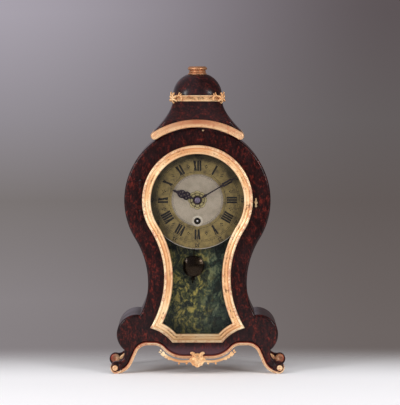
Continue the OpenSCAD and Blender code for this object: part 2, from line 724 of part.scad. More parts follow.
module dial_plate() color(brass) difference() {
  bar_y(dial_c, dial_r, dial_y, dial_back_y);
  bar_y(dial_c, pipe_hole_r, dial_y - 1, dial_back_y + 1);
  bar_y(wind_p, wind_hole_r, dial_y - 1, dial_back_y + 1);
}
module dial_centre() color(silvered) difference() {
  bar_y(dial_c, centre_r, dial_y - seat - centre_t, dial_y - seat);
  bar_y(dial_c, pipe_hole_r, dial_y - 2, dial_y + 1);
  bar_y(wind_p, wind_hole_r + 0.2, dial_y - 2, dial_y + 1);
}
module dial_rosette() color(gilt) difference() {
  slab(dial_y - 2 * seat - centre_t - rosette_t, dial_y - 2 * seat - centre_t) translate(dial_c) {
    circle(r = rosette_r - 3);
    for (a = [0:45:315]) rotate(a) translate([rosette_r - 4, 0]) circle(r = 4, $fn = 32);
  }
  bar_y(dial_c, pipe_hole_r, dial_y - 3, dial_y + 1);
}
module dial_feet() color(brass) for (p = foot_points) difference() {
  union() {
    bar_y(dial_c + p, foot_r, dial_back_y + seat, foot_end_y);
    bar_y(dial_c + p, foot_r + 1, dial_back_y + seat, dial_back_y + 1.2);
  }
  translate([p[0], foot_end_y - 1.6, dial_z + p[1] - 5]) cylinder(r = taper_r + seat, h = 10);
}

// Motion work, in front of the front plate

pipe_y = dial_y - 4;
hour_hand_y = pipe_y + 0.5;
minute_hand_y = hour_hand_y - 2.8;
cannon_r = 2.2;
cannon_bore = 1.25;
hour_pipe_r = 3.2;
arbor_tip_y = minute_hand_y - 2.4;
cannon_y0 = dial_back_y + 4.2;
cannon_y1 = cannon_y0 + 2.3;
minute_wheel_y0 = cannon_y0 + 0.5;
hour_wheel_y0 = dial_back_y + 2;

cannon_m = 2 * stud_x / (cannon_n + minute_n);
hour_m = 2 * stud_x / (minute_pn + hour_n);

// Toothed outline: half widths of a tooth at root and tip are shares of the pitch
function gear_ring(n, m, up, down, root, tip, turn) = [for (i = [0:n - 1], k = [0:3])
  let (r = m * n / 2 + (k == 0 || k == 3 ? -down : up) * m,
    a = turn + (i + (k == 0 ? -root : k == 1 ? -tip : k == 2 ? tip : root)) * 360 / n)
  [r * cos(a), r * sin(a)]];
module wheel_2d(n, m, turn) polygon(gear_ring(n, m, 0.8, 1.2, 0.27, 0.12, turn));
module pinion_2d(n, m, turn) polygon(gear_ring(n, m, 0.65, 1.2, 0.2, 0.11, turn));

// Openings between the spokes of a wheel
module crossings(r0, r1, spokes, spoke_w) difference() {
  circle(r = r1);
  circle(r = r0);
  for (i = [0:spokes - 1]) rotate(i * 360 / spokes) translate([0, -spoke_w / 2]) square([r1 + 1, spoke_w]);
}

hour_hand_outline = [[1.3, 5.6], [1.3, 10], [2.6, 12.4], [5.6, 14.6], [6.4, 18], [4.6, 21], [6.2, 24],
  [5, 28], [2.6, 31], [1.4, 33], [1.8, 35], [0.5, hour_hand_l - 1], [0, hour_hand_l]];
module hour_hand() color(dark_steel) difference() {
  slab(hour_hand_y, hour_hand_y + hand_t) translate(dial_c) rotate(-hour_at) difference() {
    union() {
      circle(r = 6.2);
      polygon(whole(concat([[0, 3]], hour_hand_outline)));
    }
    for (s = [-1, 1]) {
      translate([s * 3.2, 16.6]) circle(r = 1.5, $fn = 24);
      translate([s * 3, 24.6]) circle(r = 1.5, $fn = 24);
    }
    translate([0, 20.4]) circle(r = 1.7, $fn = 24);
    translate([0, 29]) circle(r = 1, $fn = 24);
  }
  bar_y(dial_c, hour_pipe_r + seat, hour_hand_y - 1, hour_hand_y + hand_t + 1);
}

minute_hand_outline = [[0.8, 4.6], [0.8, 38], [1.6, 40], [0.9, 42], [2.4, 45.5], [2.5, 49], [1.4, 54],
  [0.9, 58], [0.4, minute_hand_l - 1], [0, minute_hand_l]];
module minute_hand() color(dark_steel) difference() {
  slab(minute_hand_y, minute_hand_y + hand_t) translate(dial_c) rotate(-minute_at) {
    circle(r = 5);
    polygon(whole(concat([[0, 2]], minute_hand_outline)));
  }
  bar_y(dial_c, cannon_r + seat, minute_hand_y - 1, minute_hand_y + hand_t + 1);
}

module hand_collet() color(steel) difference() {
  turned_y(dial_c, minute_hand_y - 0.3)
    polygon([[0, -1.2], [2.2, -1.1], [3.6, -0.4], [4, 0.1], [4, 0.25], [0, 0.25]]);
  bar_y(dial_c, 1.2 + seat, minute_hand_y - 3, minute_hand_y + 1);
}

module cannon_pinion() color(steel) difference() {
  union() {
    slab(cannon_y0, cannon_y1) translate(dial_c) pinion_2d(cannon_n, cannon_m, 0);
    bar_y(dial_c, cannon_r, minute_hand_y + seat - 0.02, cannon_y0 + 0.1);
  }
  bar_y(dial_c, cannon_bore, minute_hand_y - 1, cannon_y1 + 1);
}

minute_web_r = 8.6;
module minute_wheel() color(brass) difference() {
  union() {
    slab(minute_wheel_y0, minute_wheel_y0 + 1.3) translate(dial_c + [stud_x, 0])
      wheel_2d(minute_n, cannon_m, 180 + 180 / minute_n);
    slab(hour_wheel_y0 - 0.4, minute_wheel_y0 + 0.1) translate(dial_c + [stud_x, 0])
      pinion_2d(minute_pn, hour_m, 180);
  }
  bar_y(dial_c + [stud_x, 0], stud_r + play, dial_back_y, plate_y);
  for (a = [45:90:315]) bar_y(dial_c + [stud_x, 0] + minute_web_r * [cos(a), sin(a)], 3,
    minute_wheel_y0 - 1, minute_wheel_y0 + 2);
}
stud_r = 1.2;
module minute_stud() color(steel) {
  bar_y(dial_c + [stud_x, 0], stud_r, hour_wheel_y0 - 1, plate_y - seat);
  bar_y(dial_c + [stud_x, 0], stud_r + 0.8, minute_wheel_y0 + 1.6, plate_y - seat);
}

module hour_wheel() color(brass) difference() {
  union() {
    slab(hour_wheel_y0, hour_wheel_y0 + 1.2) translate(dial_c) wheel_2d(hour_n, hour_m, 180 / hour_n);
    bar_y(dial_c, hour_pipe_r, pipe_y, hour_wheel_y0 + 1.2);
  }
  bar_y(dial_c, cannon_r + play, pipe_y - 1, hour_wheel_y0 + 2);
}

// Plates

plate_back_y = plate_y + plate_t;
back_plate_y = plate_back_y + plate_gap;
back_face_y = back_plate_y + plate_t;
plate_top = 50;
plate_bottom = -barrel_drop - 29;
pillar_points = [[30, 42], [-30, 42], [31, -44], [-31, -44]];
pillar_r = 3;
pillar_end_r = 1.8;
pallet_d = escape_r * sqrt(2);
pallet_p = [0, pallet_z];
escape_p = [0, pallet_z - pallet_d];
third_p = meet([0, 0], third_reach, escape_p, escape_reach, -1);
wheel_pivot_r = 0.6;
third_arbor_r = 1.1;
escape_arbor_r = 0.8;
escape_pivot_r = 0.5;
centre_arbor_r = 2;
pallet_arbor_r = 1.25;
wind_arbor_r = 2.6;

module plate_2d() polygon(whole([[0, plate_top], [plate_w - 8, plate_top], [plate_w, plate_top - 8],
  [plate_w, plate_bottom + 16], [plate_w - 16, plate_bottom], [0, plate_bottom]]));
module hole_at(p, r, y) bar_y(dial_c + p, r, y - 1, y + plate_t + 1);

module front_plate() color(brass) difference() {
  slab(plate_y, plate_back_y) translate(dial_c) plate_2d();
  hole_at([0, 0], centre_arbor_r + play, plate_y);
  hole_at([0, -barrel_drop], wind_arbor_r + play, plate_y);
  hole_at(third_p, wheel_pivot_r + play, plate_y);
  hole_at(escape_p, escape_pivot_r + play, plate_y);
  hole_at(pallet_p, pallet_arbor_r + play, plate_y);
  for (p = foot_points) hole_at(p, foot_r + seat, plate_y);
  for (p = strap_points) hole_at(p, screw_r + seat, plate_y);
}
module back_plate() color(brass) difference() {
  slab(back_plate_y, back_face_y) translate(dial_c) plate_2d();
  hole_at([0, 0], 1.2 + play, back_plate_y);
  hole_at([0, -barrel_drop], wind_arbor_r + play, back_plate_y);
  hole_at(third_p, wheel_pivot_r + play, back_plate_y);
  hole_at(escape_p, escape_pivot_r + play, back_plate_y);
  hole_at(pallet_p, 3.5, back_plate_y);
  for (p = pillar_points) hole_at(p, pillar_end_r + seat, back_plate_y);
  for (x = [-cock_foot_x, cock_foot_x]) hole_at([x, pallet_z], screw_r + seat, back_plate_y);
  hole_at(click_p, screw_r + seat, back_plate_y);
  hole_at(spring_p, screw_r + seat, back_plate_y);
}

module pillars() color(brass) for (p = pillar_points) difference() {
  union() {
    bar_y(dial_c + p, pillar_r, plate_back_y + seat, back_plate_y - seat);
    bar_y(dial_c + p, pillar_r + 0.8, plate_back_y + plate_gap / 2 - 2, plate_back_y + plate_gap / 2 + 2);
    bar_y(dial_c + p, pillar_end_r, back_plate_y - 0.1, back_face_y + 3);
  }
  translate([p[0], back_face_y + 1.2, dial_z + p[1] - 5]) cylinder(r = taper_r + seat, h = 10);
}

taper_r = 0.5;
taper_l = 7;
module taper_pin(p, y) translate([p[0], y, dial_z + p[1] - taper_l / 2]) cylinder(r = taper_r, h = taper_l);
module taper_pins() color(steel) {
  for (p = foot_points) taper_pin(p, foot_end_y - 1.6);
  for (p = pillar_points) taper_pin(p, back_face_y + 1.2);
}

// Brass straps that hold the front plate in the hole of the board

strap_points = [[33, 34], [-33, 34], [33, -34], [-33, -34]];
strap_out = 27;
strap_t = 1.5;
strap_w = 8;
screw_r = 1.1;
// Where the strap that starts at p is screwed to the board
function strap_end(p) = p + [sign(p[0]) * strap_out, 0];
module movement_straps() color(brass) for (p = strap_points) difference() {
  slab(plate_back_y + seat, plate_back_y + strap_t)
    translate(dial_c + (p + strap_end(p)) / 2) square([strap_out + strap_w, strap_w], center = true);
  hole_at(p, screw_r + seat, plate_back_y);
  hole_at(strap_end(p), screw_r + seat, plate_back_y);
}

module cheese_screw(p, face_y, depth) {
  bar_y(dial_c + p, screw_r, face_y - depth, face_y + 0.1);
  difference() {
    bar_y(dial_c + p, 2.2, face_y + seat, face_y + 1.5);
    translate([p[0] - 3, face_y + 1, dial_z + p[1] - 0.3]) cube([6, 1, 0.6]);
  }
}
module movement_screws() color(steel) {
  for (p = strap_points) {
    cheese_screw(p, plate_back_y + strap_t, strap_t + plate_t - 0.2);
    cheese_screw(strap_end(p), plate_back_y + strap_t, strap_t + board_t - 0.4);
  }
  for (x = [-cock_foot_x, cock_foot_x])
    cheese_screw([x, pallet_z], cock_y + cock_t, cock_y + cock_t - back_plate_y - 0.2);
  cheese_screw(click_p, ratchet_y + ratchet_t + 0.2, ratchet_y + ratchet_t - back_plate_y);
  cheese_screw(spring_p, ratchet_y + ratchet_t, ratchet_y + ratchet_t - back_plate_y - 0.2);
}

// Barrel, mainspring and winding work

barrel_m = 2 * barrel_drop / (barrel_n + centre_pn);
barrel_y0 = plate_back_y + 2;
barrel_r = barrel_m * barrel_n / 2 - 1.9;
barrel_h = 24;
barrel_wall = 1.2;
drum_hub_r = 4;
cover_t = 1.2;
great_t = 2;

module barrel() color(brass) difference() {
  union() {
    bar_y(wind_p, barrel_r, barrel_y0, barrel_y0 + barrel_h);
    slab(barrel_y0, barrel_y0 + great_t) translate(wind_p) wheel_2d(barrel_n, barrel_m, 90 + 180 / barrel_n);
  }
  bar_y(wind_p, barrel_r - barrel_wall, barrel_y0 + great_t, barrel_y0 + barrel_h + 1);
  bar_y(wind_p, wind_arbor_r + play, barrel_y0 - 1, barrel_y0 + great_t + 1);
}
cover_y = barrel_y0 + barrel_h - 0.3;
module barrel_cover() color(brass) difference() {
  bar_y(wind_p, barrel_r - barrel_wall - seat, cover_y - cover_t, cover_y);
  bar_y(wind_p, wind_arbor_r + play, barrel_y0, barrel_y0 + barrel_h + 1);
}

square_half = 2.1;
// Half width of the square that carries the ratchet wheel
tail_half = 1.8;
square_y0 = dial_back_y + 0.5;
square_y1 = rod_y - 2;
module barrel_arbor() color(steel) {
  translate([-square_half, square_y0, wind_p[1] - square_half])
    cube([2 * square_half, square_y1 - square_y0, 2 * square_half]);
  bar_y(wind_p, wind_arbor_r, square_y1 - 0.1, back_face_y + 0.2);
  bar_y(wind_p, drum_hub_r, barrel_y0 + great_t + 0.3, barrel_y0 + barrel_h - cover_t - 0.6);
  translate([-tail_half, back_face_y, wind_p[1] - tail_half])
    cube([2 * tail_half, ratchet_y + ratchet_t + 1 - back_face_y, 2 * tail_half]);
}

// A flat spring wound loosely from the arbor to the wall of the barrel
spring_t = 0.5;
spring_turns = 5.5;
spring_r0 = drum_hub_r + 0.5;
spring_r1 = barrel_r - barrel_wall - 0.4;
function spiral(r0, r1, turns, n) = [for (i = [0:n]) let (a = 360 * turns * i / n, r = r0 + (r1 - r0) * i / n)
  [r * cos(a), r * sin(a)]];
module mainspring() color(steel) slab(barrel_y0 + great_t + 0.6, cover_y - cover_t - 0.6)
  translate(wind_p) polygon(concat(spiral(spring_r0, spring_r1 - spring_t, spring_turns, 132),
    reversed(spiral(spring_r0 + spring_t, spring_r1, spring_turns, 132))));

ratchet_r = 9;
ratchet_y = back_face_y + 0.4;
ratchet_t = 1.6;
ratchet_depth = 1.4;
// The click's pivot and the spring's screw, from the winding arbor
click_at = [9.5, 12.5];
spring_at = [20, 4];
click_p = click_at - [0, barrel_drop];
spring_p = spring_at - [0, barrel_drop];
// Bearing of the tooth that the click holds, and the angle between two teeth
held_a = 113.5;
ratchet_step = 360 / ratchet_n;
click_eye_r = 2.6;
function polar(r, a) = r * [cos(a), sin(a)];
module ratchet_wheel() color(steel) difference() {
  slab(ratchet_y, ratchet_y + ratchet_t) translate(wind_p) polygon([for (i = [0:ratchet_n - 1], k = [0:1])
    polar(ratchet_r - k * ratchet_depth, held_a + (i + 0.9 * k) * ratchet_step)]);
  translate([-tail_half - seat, ratchet_y - 1, wind_p[1] - tail_half - seat])
    cube([2 * (tail_half + seat), ratchet_t + 2, 2 * (tail_half + seat)]);
}
module click() color(steel) difference() {
  slab(ratchet_y, ratchet_y + ratchet_t) translate(wind_p) {
    translate(click_at) circle(r = click_eye_r);
    polygon([polar(ratchet_r - 1, held_a - 2.15), polar(ratchet_r + 0.35, held_a - 13),
      click_at + [-0.9, -2.4], click_at + [-1.1, 2.3], polar(ratchet_r + 2.2, held_a - 4),
      polar(ratchet_r + 1, held_a - 0.6)]);
  }
  bar_y(wind_p + click_at, screw_r + play, ratchet_y - 1, ratchet_y + ratchet_t + 1);
}
module click_spring() color(steel) difference() {
  slab(ratchet_y, ratchet_y + ratchet_t) translate(wind_p) {
    translate(spring_at) circle(r = click_eye_r);
    polygon(concat([spring_at + [0.6, 0], [16.6, 18], [9.3, 16.6], [5.2, 15.2]],
      [[5.5, 14.35], [9.5, 15.75], [15.7, 17], spring_at - [0.6, 0]]));
  }
  bar_y(wind_p + spring_at, screw_r + seat, ratchet_y - 1, ratchet_y + ratchet_t + 1);
}

// Going train, between the plates

centre_wheel_y = barrel_y0 + barrel_h + 3;
centre_m = 2 * third_reach / (centre_n + third_pn);
third_m = 2 * escape_reach / (third_n + escape_pn);
third_wheel_y = centre_wheel_y - 11;
escape_wheel_y = plate_back_y + 7.6;
wheel_t = 1.2;
escape_t = 0.8;
third_a = atan2(third_p[1], third_p[0]);
escape_a = atan2(escape_p[1] - third_p[1], escape_p[0] - third_p[0]);

module centre_arbor() color(steel) {
  bar_y(dial_c, 1.2, arbor_tip_y, plate_y);
  bar_y(dial_c, centre_arbor_r, plate_y - 0.1, back_plate_y - 0.2);
  bar_y(dial_c, 1.2, back_plate_y - 0.3, back_face_y);
  slab(plate_back_y + 0.6, barrel_y0 + great_t + 2) translate(dial_c) pinion_2d(centre_pn, barrel_m, -90);
}
module centre_wheel() color(brass) difference() {
  slab(centre_wheel_y, centre_wheel_y + wheel_t) translate(dial_c) difference() {
    wheel_2d(centre_n, centre_m, third_a);
    crossings(5, centre_m * centre_n / 2 - 3, 4, 2.2);
  }
  bar_y(dial_c, centre_arbor_r + seat, centre_wheel_y - 1, centre_wheel_y + wheel_t + 1);
}
module third_wheel() color(brass) {
  bar_y(dial_c + third_p, third_arbor_r, plate_back_y + 0.2, back_plate_y - 0.2);
  bar_y(dial_c + third_p, wheel_pivot_r, plate_y + 0.2, back_face_y - 0.2);
  slab(centre_wheel_y - 1.2, centre_wheel_y + wheel_t + 1.2) translate(dial_c + third_p)
    pinion_2d(third_pn, centre_m, third_a + 180 + 180 / third_pn);
  slab(third_wheel_y, third_wheel_y + wheel_t) translate(dial_c + third_p) difference() {
    wheel_2d(third_n, third_m, escape_a);
    crossings(4, third_m * third_n / 2 - 2.6, 4, 1.8);
  }
}
escape_step = 360 / escape_n;
escape_depth = 1.5;
// Where a tooth starts, has its point and ends, as shares of the step between two teeth
tooth_shares = [-0.3, 0, 0.2];
module escape_wheel() color(brass) {
  bar_y(dial_c + escape_p, escape_arbor_r, plate_back_y + 0.2, back_plate_y - 0.2);
  bar_y(dial_c + escape_p, escape_pivot_r, plate_y + 0.2, back_face_y - 0.2);
  slab(third_wheel_y - 1.2, third_wheel_y + wheel_t + 1.2) translate(dial_c + escape_p)
    pinion_2d(escape_pn, third_m, escape_a + 180 + 180 / escape_pn);
  slab(escape_wheel_y, escape_wheel_y + escape_t) translate(dial_c + escape_p) difference() {
    polygon([for (i = [0:escape_n - 1], k = [0:2])
      polar(escape_r - (k == 1 ? 0 : escape_depth), 135 + (i - 0.25 + tooth_shares[k]) * escape_step)]);
    crossings(2.4, escape_r - 2.6, 4, 1);
  }
}

// Anchor: two arms over the escape wheel, each with a wedge that dips between the teeth
pallet_air = 0.45;
nib_w = 1.8;
nib_l = 3.4;
nib_point = 1.2;
arm_w = 2.4;
module strip(a, b, w) translate(a) rotate(bearing(a, b)) translate([0, -w / 2]) square([norm(b - a), w]);
module anchor_arm() {
  nib_end = [0, -pallet_d] + (escape_r + pallet_air + nib_l - arm_w / 2) * [-sin(45), cos(45)];
  strip([0, 0], nib_end, arm_w);
  translate([0, -pallet_d]) rotate(45) translate([0, escape_r + pallet_air])
    polygon([[0, 0], [nib_w / 2, nib_point], [nib_w / 2, nib_l], [-nib_w / 2, nib_l],
      [-nib_w / 2, nib_point]]);
}
module tilted() translate([pallet_p[0], 0, dial_z + pallet_z]) rotate([0, swing_rest, 0])
  translate([-pallet_p[0], 0, -dial_z - pallet_z]) children();
module anchor() color(steel) tilted() {
  slab(escape_wheel_y - 0.6, escape_wheel_y + escape_t + 0.6) translate(dial_c + pallet_p) {
    circle(r = 2.4);
    anchor_arm();
    mirror([1, 0]) anchor_arm();
  }
  bar_y(dial_c + pallet_p, pallet_arbor_r, rod_y - 1.7, cock_y - 0.3);
  bar_y(dial_c + pallet_p, wheel_pivot_r, cock_y - 0.4, cock_y + cock_t - 0.1);
}

cock_foot_x = 10;
cock_foot_r = 3;
cock_h = 3;
cock_t = 1.5;
cock_y = back_face_y + cock_h;
module back_cock() color(brass) difference() {
  union() {
    slab(cock_y, cock_y + cock_t) translate(dial_c + pallet_p)
      square([2 * (cock_foot_x + cock_foot_r), 2 * cock_foot_r + 1], center = true);
    for (x = [-cock_foot_x, cock_foot_x])
      bar_y(dial_c + [x, pallet_z], cock_foot_r, back_face_y + seat, cock_y + 0.1);
  }
  bar_y(dial_c + pallet_p, wheel_pivot_r + play, cock_y - 1, cock_y + cock_t + 1);
  for (x = [-cock_foot_x, cock_foot_x])
    bar_y(dial_c + [x, pallet_z], screw_r + seat, back_face_y - 1, cock_y + cock_t + 1);
}

// Pendulum, hung on the pallet arbor between the dial and the board

stirrup_top = 12;
stirrup_bottom = -45;
rod_end = bob_drop + bob_r + 9;
module wire_z(x, z0, z1) translate([x, rod_y, dial_z + z0]) cylinder(r = wire_r, h = z1 - z0);
module wire_x(z) translate([-stirrup_w, rod_y, dial_z + z]) rotate([0, 90, 0])
  cylinder(r = wire_r, h = 2 * stirrup_w);
module pendulum_rod() color(brass) tilted() difference() {
  union() {
    bar_y(dial_c + pallet_p, 2.6, rod_y - 1.4, rod_y + 1.4);
    wire_z(0, stirrup_top, pallet_z - 1.6);
    wire_x(stirrup_top);
    wire_x(stirrup_bottom);
    for (x = [-stirrup_w, stirrup_w]) {
      wire_z(x, stirrup_bottom, stirrup_top);
      for (z = [stirrup_bottom, stirrup_top]) translate([x, rod_y, dial_z + z]) sphere(r = wire_r);
    }
    wire_z(0, -rod_end, stirrup_bottom);
  }
  bar_y(dial_c + pallet_p, pallet_arbor_r + seat, rod_y - 3, rod_y + 3);
}
lens_n = 8;
lens_rim = 0.5;
// One face of the lens as rows of [radius, depth], towards side
function lens_face(side) = [for (i = [0:lens_n]) let (s = i / lens_n)
  [bob_r * s, side * (lens_rim + (bob_t / 2 - lens_rim) * (1 - s * s))]];
module pendulum_bob() color(brass) tilted() difference() {
  turned_y(dial_c - [0, bob_drop], rod_y) polygon(concat(lens_face(-1), reversed(lens_face(1))));
  translate([0, rod_y, dial_z - bob_drop - bob_r - 1]) cylinder(r = wire_r + seat, h = 2 * bob_r + 2);
}
nut_r = 3.2;
nut_h = 3.5;
module rating_nut() color(brass) tilted() translate([0, rod_y, dial_z - bob_drop - bob_r - air - nut_h])
  difference() {
    cylinder(r = nut_r, h = nut_h);
    translate([0, 0, -1]) cylinder(r = wire_r + seat, h = nut_h + 2);
  }

front_panel();
back_panel();
side_left();
side_right();
case_floor();
hood_roof();
hood_moulding();
hood_band();
hood_corner_mounts();
hood_dome();
finial();
apron_strip();
foot_scrolls();
apron_mount();
case_nails();
backboard();
board_blocks();
door_frame();
door_glass();
door_hinge_straps();
hinge_leaves();
hinge_pins();
door_catch();
rear_door();
rear_hinge_straps();
rear_button();
turn_screws();
dial_plate();
dial_centre();
dial_rosette();
dial_feet();
hour_hand();
minute_hand();
hand_collet();
cannon_pinion();
minute_wheel();
minute_stud();
hour_wheel();
front_plate();
back_plate();
pillars();
taper_pins();
movement_straps();
movement_screws();
barrel();
barrel_cover();
barrel_arbor();
mainspring();
ratchet_wheel();
click();
click_spring();
centre_arbor();
centre_wheel();
third_wheel();
escape_wheel();
anchor();
back_cock();
pendulum_rod();
pendulum_bob();
rating_nut();
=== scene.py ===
"""Dresses the waisted table clock: its case, gilding, dial, painted board and the room it is seen in."""

import json
import math

import bmesh
import bpy
from mathutils import Euler, Matrix, Vector, noise
from mathutils.geometry import tessellate_polygon


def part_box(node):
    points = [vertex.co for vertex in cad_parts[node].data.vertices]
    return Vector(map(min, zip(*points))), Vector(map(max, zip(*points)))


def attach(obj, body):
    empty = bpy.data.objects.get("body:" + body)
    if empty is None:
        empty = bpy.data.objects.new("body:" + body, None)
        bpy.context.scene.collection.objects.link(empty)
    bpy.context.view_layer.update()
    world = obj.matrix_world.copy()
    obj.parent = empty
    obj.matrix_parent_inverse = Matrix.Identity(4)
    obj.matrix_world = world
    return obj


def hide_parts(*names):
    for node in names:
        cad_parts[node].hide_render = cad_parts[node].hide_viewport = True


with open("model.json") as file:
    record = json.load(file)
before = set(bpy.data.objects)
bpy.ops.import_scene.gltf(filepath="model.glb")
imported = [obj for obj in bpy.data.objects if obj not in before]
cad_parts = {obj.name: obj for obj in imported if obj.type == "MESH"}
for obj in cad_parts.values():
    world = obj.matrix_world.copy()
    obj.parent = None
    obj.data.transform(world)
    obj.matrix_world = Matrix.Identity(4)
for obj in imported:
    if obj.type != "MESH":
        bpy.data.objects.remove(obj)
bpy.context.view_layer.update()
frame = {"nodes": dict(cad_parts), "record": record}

bl_info = {
    "name": "Waisted table clock",
    "version": (1, 0, 0),
    "blender": (4, 5, 0),
    "location": "View3D > Sidebar > Clock",
    "description": "Builds the dressed pieces of a waisted table clock around its solid model",
    "category": "Object",
}

# Lengths below are in millimetres, as in the part's source; raw() turns them into metres.
MM = 0.001

DIAL_Z = 254.6
HEAD_R = 107.2
WAIST_W, WAIST_Z = 72.4, 132.1
FLANK_R = 93.0
LOBE_X, LOBE_Z, LOBE_R = 89.2, 57.5, 29.3
LEG_X, LEG_IN_R = 119.5, 25.6
ANKLE_Z, LEG_OUT_R = 29.2, 12.0
SCROLL_X, SCROLL_Z, SCROLL_R = 118.9, 8.6, 9.0
REAR_SPLAY = 4.8
ARCH_R, ARCH_Z = 17.2, 24.5
ARCH_OUT_X, ARCH_IN_X = 73.1, 64.0
APRON_X, APRON_Z = 19.5, 22.0
STRIP_T = 4.8
FRONT_Y, INNER_FRONT_Y = -62.0, -53.0
INNER_BACK_Y, BACK_Y = 54.0, 62.0
SIDE_T, BACK_ROUND = 6.0, 1.6

DOOR_R, DOOR_WAIST, DOOR_WAIST_Z = 81.0, 48.6, 142.3
DOOR_FLANK_R = 143.8
CORNER_X, CORNER_Z, CORNER_R = 83.5, 10.7, 58.8
DOOR_Z = 46.4
FRAME_W = 12.8
FRAME_BACK_Y = FRONT_Y - 0.3
FRAME_FRONT_Y = FRAME_BACK_Y - 9.0
REBATE_T = FRAME_W - 5.3
REBATE_Y = FRAME_BACK_Y - 3.0
# Slot in the frame's edge that takes the nose of the turned catch
SLOT_Z, SLOT_HALF, SLOT_DEEP = DIAL_Z - 0.7, 4.0, 2.2
SLOT_NEAR, SLOT_FAR = 4.72, 6.55

CORNICE_R, CORNICE_H = 111.0, 11.3
CORNICE_X, CORNICE_Y, CORNICE_NOSE = 68.2, 74.0, 3.6
CORE_X, CORE_Y = 65.2, 66.0
CORNICE_Z = DIAL_Z + HEAD_R - CORNICE_R
NECK_W = 36.8
BAND_W, BAND_Z, BAND_H = 37.6, 398.7, 9.3
BAND_SQUARE = 8.0
DOME_W, DOME_H, DOME_CUT = 36.2, 29.9, 64.0
DOME_SQUARE = 2.6
# Places of two dark pins that paint the shade of two hollows in the dome's front
SHADE_PINS_X, SHADE_PINS_Z = (-21.8, 17.4), 409.9
FINIAL_R, FINIAL_H = 14.4, 12.1
ROOF_SWEEP, ROOF_Z = 1.6, 338.0
# The roof's foot is drawn in below this height, so that it stays behind the side mouldings
TUCK, TUCK_Z, TUCK_RUN = 4.5, 350.0, 6.0

REAR_W, REAR_Z0, REAR_Z1 = 48.0, 168.0, 324.0
REAR_GAP, REAR_SEAT, REAR_T = 1.0, 4.0, 5.0

DIAL_Y = INNER_FRONT_Y + 1.0
DIAL_R = 72.3
CENTRE_R = 38.0
PIPE_R = 3.9
WIND_Z = DIAL_Z - 30.8
WIND_R = 4.65
BOB_R, BOB_T, BOB_DROP = 16.0, 9.2, 98.4
ROD_Y = FRONT_Y + 20.0
PALLET_Z = DIAL_Z + 38.0
SWING_REST = 2.5
HOUR_AT, MINUTE_AT = 292.0, 59.5
# Radius of each hand's hub and of the hole in it
HOUR_HUB, MINUTE_HUB = (6.2, 3.25), (5.0, 2.25)


# Outlines, as [x, z] seen from the front


def arc(centre, radius, start, end, steps):
    """Points of an arc between two bearings in degrees, both ends included."""
    bearings = [math.radians(start + (end - start) * i / steps) for i in range(steps + 1)]
    return [(centre[0] + radius * math.cos(a), centre[1] + radius * math.sin(a)) for a in bearings]


def bearing(centre, point):
    """Bearing of a point from a centre, in degrees."""
    return math.degrees(math.atan2(point[1] - centre[1], point[0] - centre[0]))


def crossing(c0, r0, c1, r1):
    """Where two circles cross, on the right of the way from the first centre to the second."""
    dx, dz = c1[0] - c0[0], c1[1] - c0[1]
    d = math.hypot(dx, dz)
    a = (r0 * r0 - r1 * r1 + d * d) / (2 * d)
    h = math.sqrt(r0 * r0 - a * a)
    return (c0[0] + (a * dx + h * dz) / d, c0[1] + (a * dz - h * dx) / d)


def full_turn(count):
    """Bearings of equal steps round a full turn, in radians."""
    return [2 * math.pi * i / count for i in range(count)]


def shoulder(radius, waist, drop):
    """Radius of the arc that leaves a round head and stands upright at the waist."""
    return (waist * waist + drop * drop - radius * radius) / (2 * (radius - waist))


def whole(half):
    """A half outline from the top to the middle of the bottom, with its mirror image added."""
    return half + [(-x, z) for x, z in reversed(half[1:-1])]


def case_side(t=0.0):
    """Flank of the case from the top of the head down to the leg, moved inward by t."""
    dial = (0.0, DIAL_Z)
    r = shoulder(HEAD_R, WAIST_W, DIAL_Z - WAIST_Z)
    upper = (WAIST_W + r, WAIST_Z)
    lower = (WAIST_W + FLANK_R, WAIST_Z)
    lobe = (LOBE_X, LOBE_Z)
    join = crossing(lower, FLANK_R + t, lobe, LOBE_R - t)
    lobe_end = -math.degrees(math.acos((LEG_X - LEG_OUT_R - LOBE_X) / LOBE_R))
    turn = bearing(dial, upper)
    return (
        arc(dial, HEAD_R - t, 90, turn, 96)
        + arc(upper, r + t, turn + 180, 180, 32)[1:]
        + arc(lower, FLANK_R + t, 180, bearing(lower, join) % 360, 16)[1:]
        + arc(lobe, LOBE_R - t, bearing(lobe, join), lobe_end, 48)
    )


APRON_RISE = ARCH_R - APRON_Z + ARCH_Z
APRON_R = ((ARCH_IN_X - APRON_X) ** 2 + (APRON_Z - ARCH_Z) ** 2 - ARCH_R**2) / (2 * APRON_RISE)


def lower_edge(t=0.0):
    """Lower edge of the case from the foot over the arch to the middle, moved into the wood by t."""
    leg = (LEG_X, LEG_IN_R)
    outer = (ARCH_OUT_X, ARCH_Z)
    inner = (ARCH_IN_X, ARCH_Z)
    r = APRON_R
    apron = (APRON_X, APRON_Z + r)
    turn = bearing(inner, apron)
    lean = bearing(outer, leg) + math.degrees(math.acos((ARCH_R + LEG_IN_R) / math.dist(outer, leg)))
    return (
        arc(leg, LEG_IN_R - t, 270, 180 + lean, 28)
        + arc(outer, ARCH_R + t, lean, 90, 20)
        + arc(inner, ARCH_R + t, 90, turn, 14)[1:]
        + arc(apron, r - t, turn + 180, 270, 14)[1:]
        + [(0.0, APRON_Z + t)]
    )


def panel_outline(t, scroll_x):
    """Outline of a panel whose lower edge lies t inside the gilt strip's edge, as far as its foot scrolls."""
    ankle = arc((LEG_X, ANKLE_Z), LEG_OUT_R, 180, 270, 14)
    end = max(scroll_x, LEG_X) + 0.1
    foot = [(end, ANKLE_Z - LEG_OUT_R), (end, t + 0.4)]
    return whole(case_side() + ankle + foot + lower_edge(t)[1:])


